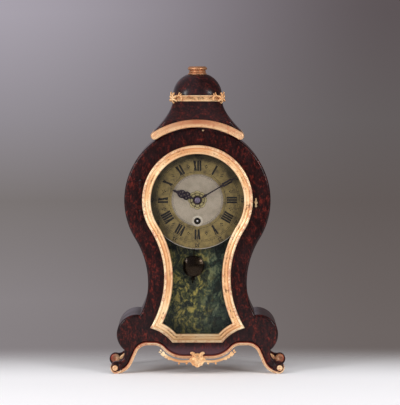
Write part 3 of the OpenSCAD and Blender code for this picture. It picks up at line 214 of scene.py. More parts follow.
def door_outline(t=0.0):
    """Outline of the gilt door frame, moved inward by t."""
    dial = (0.0, DIAL_Z)
    r = shoulder(DOOR_R, DOOR_WAIST, DIAL_Z - DOOR_WAIST_Z)
    upper = (DOOR_WAIST + r, DOOR_WAIST_Z)
    lower = (DOOR_WAIST + DOOR_FLANK_R, DOOR_WAIST_Z)
    corner = (CORNER_X, CORNER_Z)
    turn = bearing(dial, upper)
    p = crossing(lower, DOOR_FLANK_R + t, corner, CORNER_R + t)
    q = (CORNER_X - math.sqrt((CORNER_R + t) ** 2 - (DOOR_Z + t - CORNER_Z) ** 2), DOOR_Z + t)
    return whole(
        arc(dial, DOOR_R - t, 90, turn, 96)
        + arc(upper, r + t, turn + 180, 180, 40)[1:]
        + arc(lower, DOOR_FLANK_R + t, 180, bearing(lower, p) % 360, 28)[1:]
        + arc(corner, CORNER_R + t, bearing(corner, p), bearing(corner, q), 16)[1:]
        + [(0.0, DOOR_Z + t)]
    )


def cornice_outline(t=0.0):
    """Outline of the arched moulding with its round ends, moved inward by t."""
    centre = (0.0, CORNICE_Z)
    middle = CORNICE_R + CORNICE_H / 2
    end = math.degrees(math.acos((CORNICE_X - CORNICE_H / 2) / middle))
    right, left = arc(centre, middle, end, 180 - end, 1)
    r = CORNICE_H / 2 - t
    return (
        arc(centre, middle + r, end, 180 - end, 72)
        + arc(left, r, 180 - end, 360 - end, 14)[1:-1]
        + arc(centre, middle - r, 180 - end, end, 72)
        + arc(right, r, end - 180, end, 14)[1:-1]
    )


def tidy(loop):
    """The outline without points that fall on each other."""
    return [p for i, p in enumerate(loop) if math.dist(p, loop[i - 1]) > 1e-3]


def inset(loop, t):
    """A closed outline moved inward by t, with its corners mitred."""
    area = sum(a[0] * b[1] - b[0] * a[1] for a, b in zip(loop, loop[1:] + loop[:1]))
    side = 1 if area > 0 else -1
    moved = []
    for i, p in enumerate(loop):
        before = Vector(p) - Vector(loop[i - 1])
        after = Vector(loop[(i + 1) % len(loop)]) - Vector(p)
        n0 = Vector((-before.y, before.x)).normalized() * side
        n1 = Vector((-after.y, after.x)).normalized() * side
        m = Vector(p) + (n0 + n1) * (t / max(0.4, 1 + n0.dot(n1)))
        moved.append((m.x, m.y))
    return moved


def superellipse(wx, wy, power, count):
    """A rounded square about the origin, as [x, y]."""
    bend = 2 / power
    turns = [(math.cos(a), math.sin(a)) for a in full_turn(count)]
    return [(math.copysign(abs(c) ** bend, c) * wx, math.copysign(abs(s) ** bend, s) * wy) for c, s in turns]


def flowing(points, steps, closed=False):
    """A smooth line through the points, with steps pieces between each two."""
    rows = [Vector(p) for p in points]
    n = len(rows)
    out = []
    for i in range(n if closed else n - 1):
        a = rows[i - 1] if i or closed else rows[0]
        b, c = rows[i], rows[(i + 1) % n]
        d = rows[(i + 2) % n] if i + 2 < n or closed else rows[-1]
        second, third = 2 * a - 5 * b + 4 * c - d, 3 * b - a - 3 * c + d
        for u in (k / steps for k in range(steps)):
            out.append(0.5 * (2 * b + (c - a) * u + second * u * u + third * u**3))
    if not closed:
        out.append(rows[-1])
    return [tuple(p) for p in out]


# Meshes


def between(a, b, n, closed=True):
    """Four-sided faces between two rings of n points, whose numbers start at a and b."""
    return [(a + i, a + (i + 1) % n, b + (i + 1) % n, b + i) for i in range(n if closed else n - 1)]


def loft(rings, closed=True, joined=False):
    """Points and four-sided faces between rings that have the same number of points."""
    n = len(rings[0])
    verts = [tuple(p) for ring in rings for p in ring]
    faces = []
    for k in range(len(rings) if joined else len(rings) - 1):
        faces += between(k * n, ((k + 1) % len(rings)) * n, n, closed)
    return verts, faces


def hoop(section, z, count):
    """A ring that faces the front, round the middle line at height z; its section is (radius, depth)."""
    turns = [(math.sin(a), math.cos(a)) for a in full_turn(count)]
    return loft([[(r * s, y, z + r * c) for s, c in turns] for r, y in section], True, True)


def fill(verts, *loops):
    """Triangles between an outer loop of point numbers and the loops inside it."""
    flat = [k for loop in loops for k in loop]
    spans = [[Vector(verts[k]) for k in loop] for loop in loops]
    return [tuple(flat[i] for i in tri) for tri in tessellate_polygon(spans)]


def capped(rings):
    """A loft with one face over each end."""
    verts, faces = loft(rings)
    n = len(rings[0])
    return verts, faces + [tuple(range(n)), tuple(range(len(verts) - n, len(verts)))]


def filled(rings):
    """A loft whose ends are filled, for outlines with hollows."""
    verts, faces = loft(rings)
    n = len(rings[0])
    return verts, faces + fill(verts, range(n)) + fill(verts, range(len(verts) - n, len(verts)))


def rail(lines):
    """A solid bar between lines that run along its edges."""
    verts, faces = loft(lines, False, True)
    n = len(lines[0])
    return verts, faces + [tuple(end + k * n for k in range(len(lines))) for end in (0, n - 1)]


def cover(verts, faces, ring, count, tip):
    """Closes one ring of a loft over a point."""
    verts.append(tip)
    base = ring * count
    faces += [(len(verts) - 1, base + i, base + (i + 1) % count) for i in range(count)]


def raw(verts, faces, name="raw"):
    """A mesh in metres from points in millimetres."""
    mesh = bpy.data.meshes.new(name)
    mesh.from_pydata([(x * MM, y * MM, z * MM) for x, y, z in verts], [], faces)
    return mesh


def new_object(name, data):
    """An object in the scene."""
    made = bpy.data.objects.new(name, data)
    bpy.context.scene.collection.objects.link(made)
    return made


def build(
    name, body, verts, faces, material, slot, replaced=(), sharp=35.0, relief=None, bevel=None, blush=None
):
    """Makes a piece from points in millimetres and hangs it on its body."""
    mesh = raw(verts, faces, name)
    for label, values in (("relief", relief), ("blush", blush)):
        if values is not None:
            layer = mesh.attributes.new(label, "FLOAT", "POINT")
            layer.data.foreach_set("value", values)
    return dress(name, body, mesh, material, slot, replaced, sharp, bevel)


def dress(name, body, mesh, material, slot, replaced=(), sharp=35.0, bevel=None):
    """Turns a mesh in metres into a finished piece on a body."""
    work = bmesh.new()
    work.from_mesh(mesh)
    bmesh.ops.remove_doubles(work, verts=work.verts, dist=1e-7)
    bmesh.ops.recalc_face_normals(work, faces=work.faces)
    work.to_mesh(mesh)
    work.free()
    mesh.materials.clear()
    mesh.materials.append(material)
    mesh.polygons.foreach_set("use_smooth", [True] * len(mesh.polygons))
    mesh.set_sharp_from_angle(angle=math.radians(sharp))
    piece = new_object(name, mesh)
    if bevel:
        rounding = piece.modifiers.new("rounding", "BEVEL")
        rounding.width, rounding.segments, rounding.limit_method = bevel * MM, 2, "ANGLE"
        settle(piece)
    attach(piece, body)
    if replaced:
        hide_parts(*replaced)
    return piece


def evaluated(piece):
    """A plain mesh of what a text is, or of what a piece is with its modifiers."""
    bpy.context.view_layer.update()
    return bpy.data.meshes.new_from_object(piece.evaluated_get(bpy.context.evaluated_depsgraph_get()))


def settle(piece):
    """Makes what the modifiers give the piece's own mesh, and takes the modifiers off."""
    shape = evaluated(piece)
    piece.modifiers.clear()
    piece.data = shape


def lathe(profile, count, place):
    """Points and faces of a turned shape from (radius, height) pairs that start and end on the axis."""
    turns = [(math.cos(a), math.sin(a)) for a in full_turn(count)]
    rings = [[place(r * c, r * s, h) for c, s in turns] for r, h in profile[1:-1]]
    verts, faces = loft(rings)
    for height, ring in ((profile[0][1], 0), (profile[-1][1], len(rings) - 1)):
        cover(verts, faces, ring, count, place(0.0, 0.0, height))
    return verts, faces


def merge(parts):
    """Several lists of points and faces as one."""
    verts, faces = [], []
    for more_verts, more_faces in parts:
        base = len(verts)
        verts += more_verts
        faces += [tuple(k + base for k in face) for face in more_faces]
    return verts, faces


def plate(outline, y0, y1, holes=()):
    """A flat piece between two depths, with holes."""
    verts, faces, fronts, backs = [], [], [], []
    for loop in (outline, *holes):
        base, n = len(verts), len(loop)
        verts += [(x, y0, z) for x, z in loop] + [(x, y1, z) for x, z in loop]
        fronts.append(range(base, base + n))
        backs.append(range(base + n, base + 2 * n))
        faces += between(base, base + n, n)
    return verts, faces + fill(verts, *fronts) + fill(verts, *backs)


def tube(path, widths, sides, flat=1.0):
    """A round or flattened bar along a line of points in a plane of constant depth."""
    rings = []
    for i, (p, wide) in enumerate(zip(path, widths)):
        ahead = Vector(path[min(i + 1, len(path) - 1)]) - Vector(path[max(i - 1, 0)])
        across = Vector((-ahead.z, 0.0, ahead.x)).normalized()
        ring = []
        for a in full_turn(sides):
            deep = Vector((0, math.sin(a) * wide * flat, 0))
            ring.append(tuple(Vector(p) + across * (math.cos(a) * wide) + deep))
        rings.append(ring)
    return capped(rings)


# Materials


def add(tree, kind, settings=None, **values):
    """A node with its settings and inputs; an input is a value or another node's output."""
    made = tree.nodes.new(kind)
    for key, value in (settings or {}).items():
        setattr(made, key, value)
    for key, value in values.items():
        socket = made.inputs[int(key[1:])] if key[0] == "_" else made.inputs[key.replace("_", " ")]
        if isinstance(value, bpy.types.NodeSocket):
            tree.links.new(value, socket)
        else:
            socket.default_value = value
    return made


def ramp(tree, factor, stops):
    """A colour ramp with its stops as (place, colour)."""
    made = add(tree, "ShaderNodeValToRGB", _0=factor)
    points = made.color_ramp.elements
    while len(points) < len(stops):
        points.new(0.5)
    for point, (place, colour) in zip(points, stops):
        point.position = place
        point.color = (*colour[:3], 1.0)
    return made.outputs["Color"]


def blend(tree, factor, a, b, mode="MIX"):
    """Mix of two colours."""
    made = add(tree, "ShaderNodeMix", {"data_type": "RGBA", "blend_type": mode})
    for index, value in ((0, factor), (6, a), (7, b)):
        if isinstance(value, bpy.types.NodeSocket):
            tree.links.new(value, made.inputs[index])
        else:
            made.inputs[index].default_value = value if index == 0 else (*value[:3], 1.0)
    return made.outputs[2]


def maths(tree, operation, a, b=0.0, clamp=False):
    """One sum on two values."""
    return add(tree, "ShaderNodeMath", {"operation": operation, "use_clamp": clamp}, _0=a, _1=b).outputs[0]


def times(tree, a, b):
    """Product of two values."""
    return maths(tree, "MULTIPLY", a, b)


def plus(tree, a, b):
    """Sum of two values."""
    return maths(tree, "ADD", a, b)


def minus(tree, a, b):
    """The first value less the second."""
    return maths(tree, "SUBTRACT", a, b)


def length(tree, a, b):
    """Length of the vector whose two parts are given."""
    return maths(tree, "SQRT", plus(tree, times(tree, a, a), times(tree, b, b)))


def scaled(tree, value, low, high, start=0.0, end=1.0, kind="LINEAR"):
    """A value that lies between low and high, carried over to the way from start to end."""
    settings = {"interpolation_type": kind}
    return add(tree, "ShaderNodeMapRange", settings, _0=value, _1=low, _2=high, _3=start, _4=end).outputs[0]


def step(tree, value, low, high, start=0.0, end=1.0):
    """What scaled() gives, leaving and arriving softly."""
    return scaled(tree, value, low, high, start, end, "SMOOTHSTEP")


def clouds(tree, place, scale, detail, roughness=0.5, distortion=0.0):
    """A cloudy noise."""
    shape = {"Detail": detail, "Roughness": roughness, "Distortion": distortion}
    return add(tree, "ShaderNodeTexNoise", Vector=place, Scale=scale, **shape).outputs[0]


def where(tree):
    """Object coordinates."""
    return add(tree, "ShaderNodeTexCoord").outputs["Object"]


def placed(tree, scale=(1.0, 1.0, 1.0), turn=(0.0, 0.0, 0.0)):
    """Object coordinates, stretched or turned to give a pattern its direction."""
    return add(tree, "ShaderNodeMapping", Vector=where(tree), Scale=scale, Rotation=turn).outputs[0]


def axes(tree, place):
    """The three coordinates of a place."""
    return tuple(add(tree, "ShaderNodeSeparateXYZ", Vector=place).outputs)


def stored(tree, label):
    """A value that the mesh carries on its points."""
    return add(tree, "ShaderNodeAttribute", {"attribute_name": label}).outputs["Fac"]


def principled(name, **values):
    """A material, its tree and its Principled shader with plain values on its sockets."""
    material = bpy.data.materials.new(name)
    material.use_nodes = True
    shader = material.node_tree.nodes["Principled BSDF"]
    for key, value in values.items():
        shader.inputs[key.replace("_", " ")].default_value = value
    return material, material.node_tree, shader


def wire(tree, shader, height, strength, distance, **links):
    """Links what a finish has made to its shader, and gives the surface a fine unevenness."""
    uneven = add(tree, "ShaderNodeBump", Height=height, Strength=strength, Distance=distance)
    for key, value in {**links, "Normal": uneven.outputs[0]}.items():
        tree.links.new(value, shader.inputs[key.replace("_", " ")])


def group(name, inputs, outputs):
    """A shader node group with its named sockets, and its two end nodes."""
    tree = bpy.data.node_groups.new(name, "ShaderNodeTree")
    for label, kind, value in inputs:
        socket = tree.interface.new_socket(label, in_out="INPUT", socket_type=kind)
        if value is not None:
            socket.default_value = value
    for label, kind in outputs:
        tree.interface.new_socket(label, in_out="OUTPUT", socket_type=kind)
    return tree, tree.nodes.new("NodeGroupInput").outputs, tree.nodes.new("NodeGroupOutput").inputs


COLOUR, VALUE, VECTOR = "NodeSocketColor", "NodeSocketFloat", "NodeSocketVector"


def mottle_group():
    """Cloudy patches of three colours with fine strokes in them, for paint and marbling."""
    tree, given, wanted = group(
        "cloudy paint",
        [
            ("Place", VECTOR, None),
            ("Scale", VALUE, 40.0),
            ("Ground", COLOUR, (0.02, 0.01, 0.01, 1.0)),
            ("Middle", COLOUR, (0.05, 0.01, 0.01, 1.0)),
            ("Bright", COLOUR, (0.12, 0.02, 0.01, 1.0)),
            ("Spread", VALUE, 0.5),
            ("Fine", VALUE, 0.5),
        ],
        [("Color", COLOUR), ("Height", VALUE)],
    )
    wide = clouds(tree, given["Place"], given["Scale"], 5.0, 0.62, 0.9)
    fine = clouds(tree, given["Place"], times(tree, given["Scale"], 3.4), 4.0, 0.7, 0.4)
    both = plus(tree, wide, times(tree, minus(tree, fine, 0.5), given["Fine"]))
    low = minus(tree, 0.62, times(tree, given["Spread"], 0.3))
    first = step(tree, both, low, plus(tree, low, 0.1))
    second = step(tree, both, plus(tree, low, 0.09), plus(tree, low, 0.22))
    shade = blend(tree, second, blend(tree, first, given["Ground"], given["Middle"]), given["Bright"])
    tree.links.new(shade, wanted["Color"])
    tree.links.new(fine, wanted["Height"])
    return tree


def wear_group():
    """Rubbed high places, and dirt with painted shade in the low ones, from the piece's relief and a noise.
    """
    tree, given, wanted = group(
        "rub and dirt",
        [("Place", VECTOR, None), ("Relief", VALUE, 0.0), ("Scale", VALUE, 120.0), ("Amount", VALUE, 0.5)],
        [("Rubbed", VALUE), ("Dirt and shade", VALUE), ("Height", VALUE)],
    )
    big = clouds(tree, given["Place"], given["Scale"], 6.0, 0.65)
    small = clouds(tree, given["Place"], times(tree, given["Scale"], 4.0), 3.0, 0.6)
    mixed = plus(tree, times(tree, big, 0.65), times(tree, small, 0.35))
    lifted = plus(tree, mixed, times(tree, given["Relief"], 0.13))
    sunk = minus(tree, mixed, times(tree, given["Relief"], 0.17))
    high = minus(tree, 0.74, times(tree, given["Amount"], 0.3))
    rubbed = step(tree, lifted, high, plus(tree, high, 0.1))
    dirt = step(tree, sunk, plus(tree, high, 0.02), plus(tree, high, 0.16))
    for label, value in (("Rubbed", rubbed), ("Dirt and shade", dirt), ("Height", mixed)):
        tree.links.new(value, wanted[label])
    return tree


class Palette:
    """The finishes of the clock, made once and shared by its pieces."""

    def __init__(self, colours):
        self.colours = colours
        self.mottle, self.wear = mottle_group(), wear_group()
        self.made = {}

    def start(self, name, **values):
        """A new finish's tree and shader."""
        self.made[name], tree, shader = principled(name, **values)
        return tree, shader

    def mottled(self, tree, place, scale, spread, fine, tones):
        """Clouds of a ground, a middle and a bright tone."""
        shades = {label: (*tone, 1.0) for label, tone in zip(("Ground", "Middle", "Bright"), tones)}
        shades.update(Place=place, Scale=scale, Spread=spread, Fine=fine)
        return add(tree, "ShaderNodeGroup", {"node_tree": self.mottle}, **shades).outputs

    def worn(self, tree, place, relief, scale, amount):
        """What is rubbed, what is dirty, and the unevenness of a worn finish."""
        values = {"Relief": relief, "Scale": scale, "Amount": amount}
        return tuple(add(tree, "ShaderNodeGroup", {"node_tree": self.wear}, Place=place, **values).outputs)

    def tortoise(self, name, light=1.0, flow=0.66, coat=0.14, soft=0.12, bloom=0.6):
        """Dark red-brown paint in fine upright strokes, with red clouds, under a glossy varnish, with a grey
        film that is partly painted sheen and a painted purplish-grey sheen low on the apron.
        """
        c = self.colours
        tree, shader = self.start(name, Coat_Weight=coat, Coat_Roughness=soft, Specular_IOR_Level=0.12)
        place = placed(tree, (1.0, 1.0, flow))
        tones = [tuple(v * light for v in tone) for tone in (c.paint_dark, c.paint_red, c.paint_bright)]
        cloud = self.mottled(tree, place, 150.0, 0.5, 0.75, tones)["Color"]
        hair = clouds(tree, placed(tree, (1.0, 1.0, 0.3)), 430.0, 3.0, 0.7)
        strokes = ramp(tree, hair, [(0.34, (0.12, 0.12, 0.14)), (0.62, (1.0, 1.0, 1.0))])
        brushed = blend(tree, 0.85, cloud, strokes, "MULTIPLY")
        haze = clouds(tree, placed(tree), 13.0, 3.0, 0.55)
        # Grey varnish bloom in clouds, which is partly painted sheen.
        film = ramp(tree, haze, [(0.42, (0.0, 0.0, 0.0)), (0.72, tuple(v * bloom for v in c.paint_film))])
        shade = blend(tree, 1.0, brushed, film, "ADD")
        x, _, z = axes(tree, where(tree))
        # Painted reflection: low in the middle of the apron the paint turns to a purplish-grey sheen.
        low = step(tree, z, 0.03, 0.044, 1.0, 0.0)
        apron = step(tree, maths(tree, "ABSOLUTE", x), 0.05, 0.075, 1.0, 0.0)
        apron_sheen = blend(tree, times(tree, times(tree, low, apron), 0.6), shade, linear(96, 66, 74))
        rough = scaled(tree, haze, 0.3, 0.75, 0.26, 0.46)
        uneven = clouds(tree, place, 70.0, 4.0)
        wire(tree, shader, uneven, 0.32, 0.0006, Base_Color=apron_sheen, Roughness=rough)

    def gilding(self, name, amount=0.5, shine=0.42, scale=70.0, dirt=0.8, height_tints=False):
        """Old gold leaf over a red ground: rubbed through on high places, with pale leaf on proud places as
        painted highlight, and brown dirt with painted shade in the hollows.
        """
        c = self.colours
        tree, shader = self.start(name, Metallic=shine, Specular_IOR_Level=0.45)
        place = placed(tree)
        relief = stored(tree, "relief")
        rubbed, dirt_and_shade, height = self.worn(tree, place, relief, scale, amount)
        broad = clouds(tree, place, 24.0, 3.0, 0.6)
        leaf = ramp(tree, broad, [(0.32, c.leaf_deep), (0.52, c.leaf), (0.74, c.leaf_pale)])
        # Painted highlight: proud places turn to pale leaf.
        shade = blend(tree, times(tree, maths(tree, "MAXIMUM", relief, 0.0), 0.6), leaf, c.leaf_pale)
        shade = blend(tree, times(tree, rubbed, 0.62), shade, c.bole)
        # Hollows turn brown: dirt and painted shade.
        shade = blend(tree, times(tree, dirt_and_shade, dirt), shade, c.gilt_dirt)
        uneven = plus(tree, times(tree, broad, 1.1), 0.45)
        # Red ground where the blush attribute asks for it: bare clay, and painted reddish shade on the rear
        # foot eyes and the strip's upper edge.
        bare = maths(tree, "MULTIPLY", stored(tree, "blush"), uneven, True)
        shade = blend(tree, bare, shade, c.clay)
        if height_tints:
            # Olive-brown towards the bottom of the door frame, and deeper leaf towards the top.
            z = axes(tree, place)[2]
            shade = blend(tree, step(tree, z, 0.056, 0.074, 0.5, 0.0), shade, c.gilt_sill)
            shade = blend(tree, step(tree, z, 0.29, 0.335, 0.0, 0.4), shade, c.leaf_deep)
        rough = scaled(tree, height, 0.3, 0.7, 0.34, 0.56)
        wire(tree, shader, height, 0.3, 0.0004, Base_Color=shade, Roughness=rough)

    def metal(self, name, colour, dark, rough, shine, scale, dirt=0.4, stretch=(1.0, 1.0, 1.0)):
        """Metal with a patina of two tones and an uneven polish."""
        tree, shader = self.start(name, Metallic=shine)
        rubbed, _, height = self.worn(tree, placed(tree, stretch), 0.0, scale, dirt)
        base = ramp(tree, height, [(0.36, dark), (0.6, colour)])
        shade = blend(tree, times(tree, rubbed, 0.5), base, dark)
        polish = scaled(tree, height, 0.3, 0.7, rough * 0.75, rough * 1.35)
        wire(tree, shader, height, 0.15, 0.0002, Base_Color=shade, Roughness=polish)

    def rosette_brass(self):
        """Yellow brass with dark dirt and painted shade in the hollows of the rosette."""
        tree, shader = self.start("rosette brass", Metallic=0.4, Roughness=0.42)
        _, dirt_and_shade, height = self.worn(tree, placed(tree), stored(tree, "relief"), 210.0, 0.42)
        base = ramp(tree, height, [(0.36, linear(160, 144, 98)), (0.62, linear(204, 192, 142))])
        shade = blend(tree, dirt_and_shade, base, linear(78, 66, 48))
        wire(tree, shader, height, 0.25, 0.0003, Base_Color=shade)

    def tarnish(self, material):
        """Adds a dark ragged band along the dial's upper rim: tarnish, and painted shadow of the deep door
        frame.
        """
        tree = material.node_tree
        socket = tree.nodes["Principled BSDF"].inputs["Base Color"]
        x, _, z = axes(tree, where(tree))
        up = minus(tree, z, DIAL_Z * MM)
        cloud = minus(tree, clouds(tree, placed(tree), 55.0, 4.0), 0.5)
        ragged = plus(tree, length(tree, x, up), times(tree, cloud, 0.016))
        rim = step(tree, ragged, 0.055, 0.064)
        high = step(tree, minus(tree, up, times(tree, x, 0.6)), -0.045, 0.02)
        shadow_and_tarnish = times(tree, times(tree, rim, high), 0.78)
        tree.links.new(blend(tree, shadow_and_tarnish, socket.links[0].from_socket, linear(44, 42, 36)), socket)

    def marbled(self):
        """Green painted marbling: dark ground, yellow-green clouds and blue-green veils, with painted shade
        towards its top, its foot and its sides.
        """
        c = self.colours
        ground = c.board_dark
        tree, shader = self.start("green marbling", Roughness=0.42, Specular_IOR_Level=0.35)
        warm, cool = (ground, c.board_green, c.board_yellow), (ground, c.board_blue, c.board_pale)
        cloud = self.mottled(tree, placed(tree, (1.0, 1.0, 0.8)), 86.0, 0.66, 0.5, warm)
        aslant = placed(tree, (1.2, 1.0, 0.9), (0.0, 0.5, 0.0))
        veil = self.mottled(tree, aslant, 72.0, 0.62, 0.5, cool)
        x, _, z = axes(tree, where(tree))
        mixed = blend(tree, step(tree, x, -0.006, 0.034), cloud["Color"], veil["Color"])
        # Painted shade: outside a middle band the board darkens to its ground, towards the top under the dial
        # and towards its foot.
        lit = maths(tree, "SUBTRACT", step(tree, z, 0.058, 0.086), step(tree, z, 0.163, 0.19), True)
        shade = blend(tree, plus(tree, times(tree, lit, 0.6), 0.4), ground, mixed)
        # Painted shade: the board darkens towards its sides, where the door frame shades it.
        edge = step(tree, maths(tree, "ABSOLUTE", x), 0.012, 0.038, 0.0, 0.5)
        shade = blend(tree, edge, shade, ground)
        wire(tree, shader, cloud["Height"], 0.2, 0.0003, Base_Color=shade)

    def glass(self):
        """Thin old window glass."""
        tree, shader = self.start("window glass", Base_Color=(0.0, 0.0, 0.0, 1.0), Roughness=0.04)
        wave = clouds(tree, placed(tree), 11.0, 2.0)
        wire(tree, shader, wave, 0.2, 0.0008, Alpha=scaled(tree, wave, 0.3, 0.7, 0.08, 0.13))

    def softwood(self):
        """Bare, aged softwood with its grain along the height."""
        tree, shader = self.start("softwood", Roughness=0.75)
        bands = {"bands_direction": "X", "wave_profile": "SAW"}
        place = placed(tree, (1.0, 1.0, 0.08))
        rings = add(tree, "ShaderNodeTexWave", bands, Vector=place, Scale=60.0, Distortion=5.0, Detail=3.0)
        height = rings.outputs["Fac"]
        grain = ramp(tree, height, [(0.1, (0.16, 0.085, 0.04)), (0.9, (0.27, 0.16, 0.08))])
        wire(tree, shader, height, 0.3, 0.0004, Base_Color=grain)

    def all(self):
        """Makes every finish of the clock."""
        c = self.colours
        self.tortoise("case paint")
        # The hood's copy of the case paint is darker and greyer: painted shade and sheen on the roof and
        # dome.
        self.tortoise("hood paint shaded", 0.9, 0.6, 0.3, 0.24, 1.2)
        self.gilding("gilding")
        self.gilding("moulding gilding", 0.5, 0.42, 80.0, 0.85, True)
        self.gilding("cast gilding", 0.46, 0.5, 150.0, 0.9)
        self.gilding("finial gilding", 0.2, 0.75, 34.0, 0.35)
        for row in (
            ("dial brass", c.dial_brass, c.dial_dark, 0.5, 0.35, 60.0, 0.42),
            ("silvering", c.silvering, c.silvering_dark, 0.5, 0.3, 45.0, 0.3),
            ("bright silvering", linear(206, 196, 178), linear(180, 168, 148), 0.45, 0.3, 60.0, 0.3),
            ("blued steel", linear(140, 126, 148), linear(84, 72, 90), 0.4, 0.5, 260.0),
            # Bright steel paints highlights: the line round the dial's edge and the glint on the winding
            # arbor's tip.
            ("highlight steel", linear(232, 230, 224), linear(180, 176, 170), 0.3, 0.55, 90.0, 0.3),
            ("black wax", c.wax, c.wax_worn, 0.55, 0.0, 260.0, 0.35),
            ("browned steel", c.hand_steel, c.hand_dark, 0.42, 0.55, 200.0),
            ("old iron", (0.05, 0.045, 0.045), (0.02, 0.016, 0.015), 0.5, 0.6, 150.0),
            ("movement brass", (0.62, 0.42, 0.15), (0.42, 0.27, 0.09), 0.3, 1.0, 80.0, 0.4, (1.0, 1.0, 0.1)),
            ("movement steel", (0.36, 0.37, 0.4), (0.22, 0.22, 0.24), 0.28, 1.0, 120.0, 0.4, (0.1, 1.0, 1.0)),
            ("bob brass", c.bob, c.bob_dark, 0.2, 0.85, 40.0, 0.38),
            ("nail brass", (0.85, 0.62, 0.36), (0.5, 0.3, 0.14), 0.3, 0.8, 200.0),
        ):
            self.metal(*row)
        # Painted shadow of the door frame, with tarnish, on the dial's upper rim.
        self.tarnish(self.made["dial brass"])
        self.rosette_brass()
        self.marbled()
        self.glass()
        self.softwood()


def linear(r, g, b):
    """A colour written as eight-bit screen values, in the linear form that materials use."""
    return tuple(v / 255 / 12.92 if v < 11 else ((v / 255 + 0.055) / 1.055) ** 2.4 for v in (r, g, b))


def colour_prop(label, note, value):
    """A colour that a user may change, given as screen values."""
    return bpy.props.FloatVectorProperty(
        name=label, description=note, subtype="COLOR", size=3, min=0.0, max=1.0, default=linear(*value)
    )


def length_prop(label, note, value):
    """A length that a user may change, given in millimetres."""
    return bpy.props.FloatProperty(name=label, description=note, default=value * MM, unit="LENGTH", min=0.0)


def count_prop(label, note, value, least):
    """A whole number that a user may change."""
    return bpy.props.IntProperty(name=label, description=note, default=value, min=least)


class ClockColours(bpy.types.PropertyGroup):
    """Colours of the clock's finishes."""

    paint_dark: colour_prop("Paint ground", "Dark ground of the case paint", (36, 14, 14))
    paint_red: colour_prop("Paint clouds", "Dull red clouds in the case paint", (60, 19, 17))
    paint_bright: colour_prop("Paint flames", "Brightest red in the case paint", (100, 34, 25))
    paint_film: colour_prop("Varnish bloom and sheen", "Grey film on the varnish, partly painted sheen", (12, 9, 12))
    leaf: colour_prop("Gold leaf", "Main tone of the gilding", (236, 188, 136))
    leaf_pale: colour_prop("Pale leaf", "Bright leaf, and painted highlight on proud places", (255, 234, 194))
    leaf_deep: colour_prop("Deep leaf", "Deeper tone of the gilding", (218, 158, 108))
    bole: colour_prop("Red ground", "Clay that shows where the leaf is rubbed", (190, 98, 74))
    clay: colour_prop("Bare clay", "Red ground where the leaf is gone, and painted reddish shade on the rear foot eyes and the strip's upper edge", (142, 54, 38))
    gilt_dirt: colour_prop("Dirt and shade", "Brown dirt and painted shade in the hollows of the gilding", (112, 72, 44))
    gilt_sill: colour_prop("Sill tint", "Olive-brown tint on the door's gilt sill", (128, 104, 68))
    dial_brass: colour_prop("Dial brass", "Tarnished brass of the dial", (162, 141, 88))
    dial_dark: colour_prop("Dial tarnish", "Darker blotches on the dial", (104, 91, 64))
    silvering: colour_prop("Silvering", "Silvered centre of the dial", (184, 171, 152))
    silvering_dark: colour_prop("Tarnished silvering", "Duller silvering", (164, 152, 132))
    wax: colour_prop("Wax", "Black wax of the numerals", (6, 5, 8))
    wax_worn: colour_prop("Worn wax", "Where the wax has gone grey", (18, 16, 18))
    hand_steel: colour_prop("Hand steel", "Browned steel of the hands", (70, 60, 68))
    hand_dark: colour_prop("Hand dark", "Dark places on the hands", (34, 28, 34))
    bob: colour_prop("Bob", "Patinated brass of the bob", (52, 40, 27))
    bob_dark: colour_prop("Bob patina", "Dark patina of the bob", (24, 19, 15))
    board_dark: colour_prop("Board ground", "Near-black green of the board, also its painted shade", (28, 37, 32))
    board_green: colour_prop("Board green", "Middle green of the board", (84, 90, 54))
    board_yellow: colour_prop("Board yellow", "Yellow-green clouds", (190, 172, 88))
    board_blue: colour_prop("Board blue", "Blue-green veils", (66, 88, 74))
    board_pale: colour_prop("Board pale", "Palest blue-green", (150, 160, 118))


class ClockSizes(bpy.types.PropertyGroup):
    """Sizes of the dressed pieces that a user may change."""

    edge_round: length_prop("Edge rounding", "Rounding of the panels' front edge", 3.4)
    numeral_height: length_prop("Numeral height", "Height of the hour numerals", 15.2)
    numeral_ring: length_prop("Numeral ring", "Radius of the feet of the hour numerals", 42.9)
    minute_ring: length_prop("Minute ring", "Radius of the minute marks", 60.6)
    petals: count_prop("Leaves", "Leaves on each corner mount", 6, 3)
    buds: count_prop("Buds", "Leaves along each arm of the apron mount", 3, 2)


# Geometry Nodes trees


def node_tree(name, inputs):
    """A Geometry Nodes tree with its named inputs, and its two end nodes."""
    tree = bpy.data.node_groups.new(name, "GeometryNodeTree")
    tree.interface.new_socket("Geometry", in_out="OUTPUT", socket_type="NodeSocketGeometry")
    tree.interface.new_socket("Geometry", in_out="INPUT", socket_type="NodeSocketGeometry")
    for label, kind, value in inputs:
        socket = tree.interface.new_socket(label, in_out="INPUT", socket_type=kind)
        if value is not None:
            socket.default_value = value
    return tree, tree.nodes.new("NodeGroupInput").outputs, tree.nodes.new("NodeGroupOutput").inputs


def finish_tree(tree, shape, material, wanted):
    """Ends a tree in real faces that carry the material."""
    real = add(tree, "GeometryNodeRealizeInstances", Geometry=shape)
    last = add(tree, "GeometryNodeSetMaterial", Geometry=real.outputs[0], Material=material)
    tree.links.new(last.outputs[0], wanted[0])


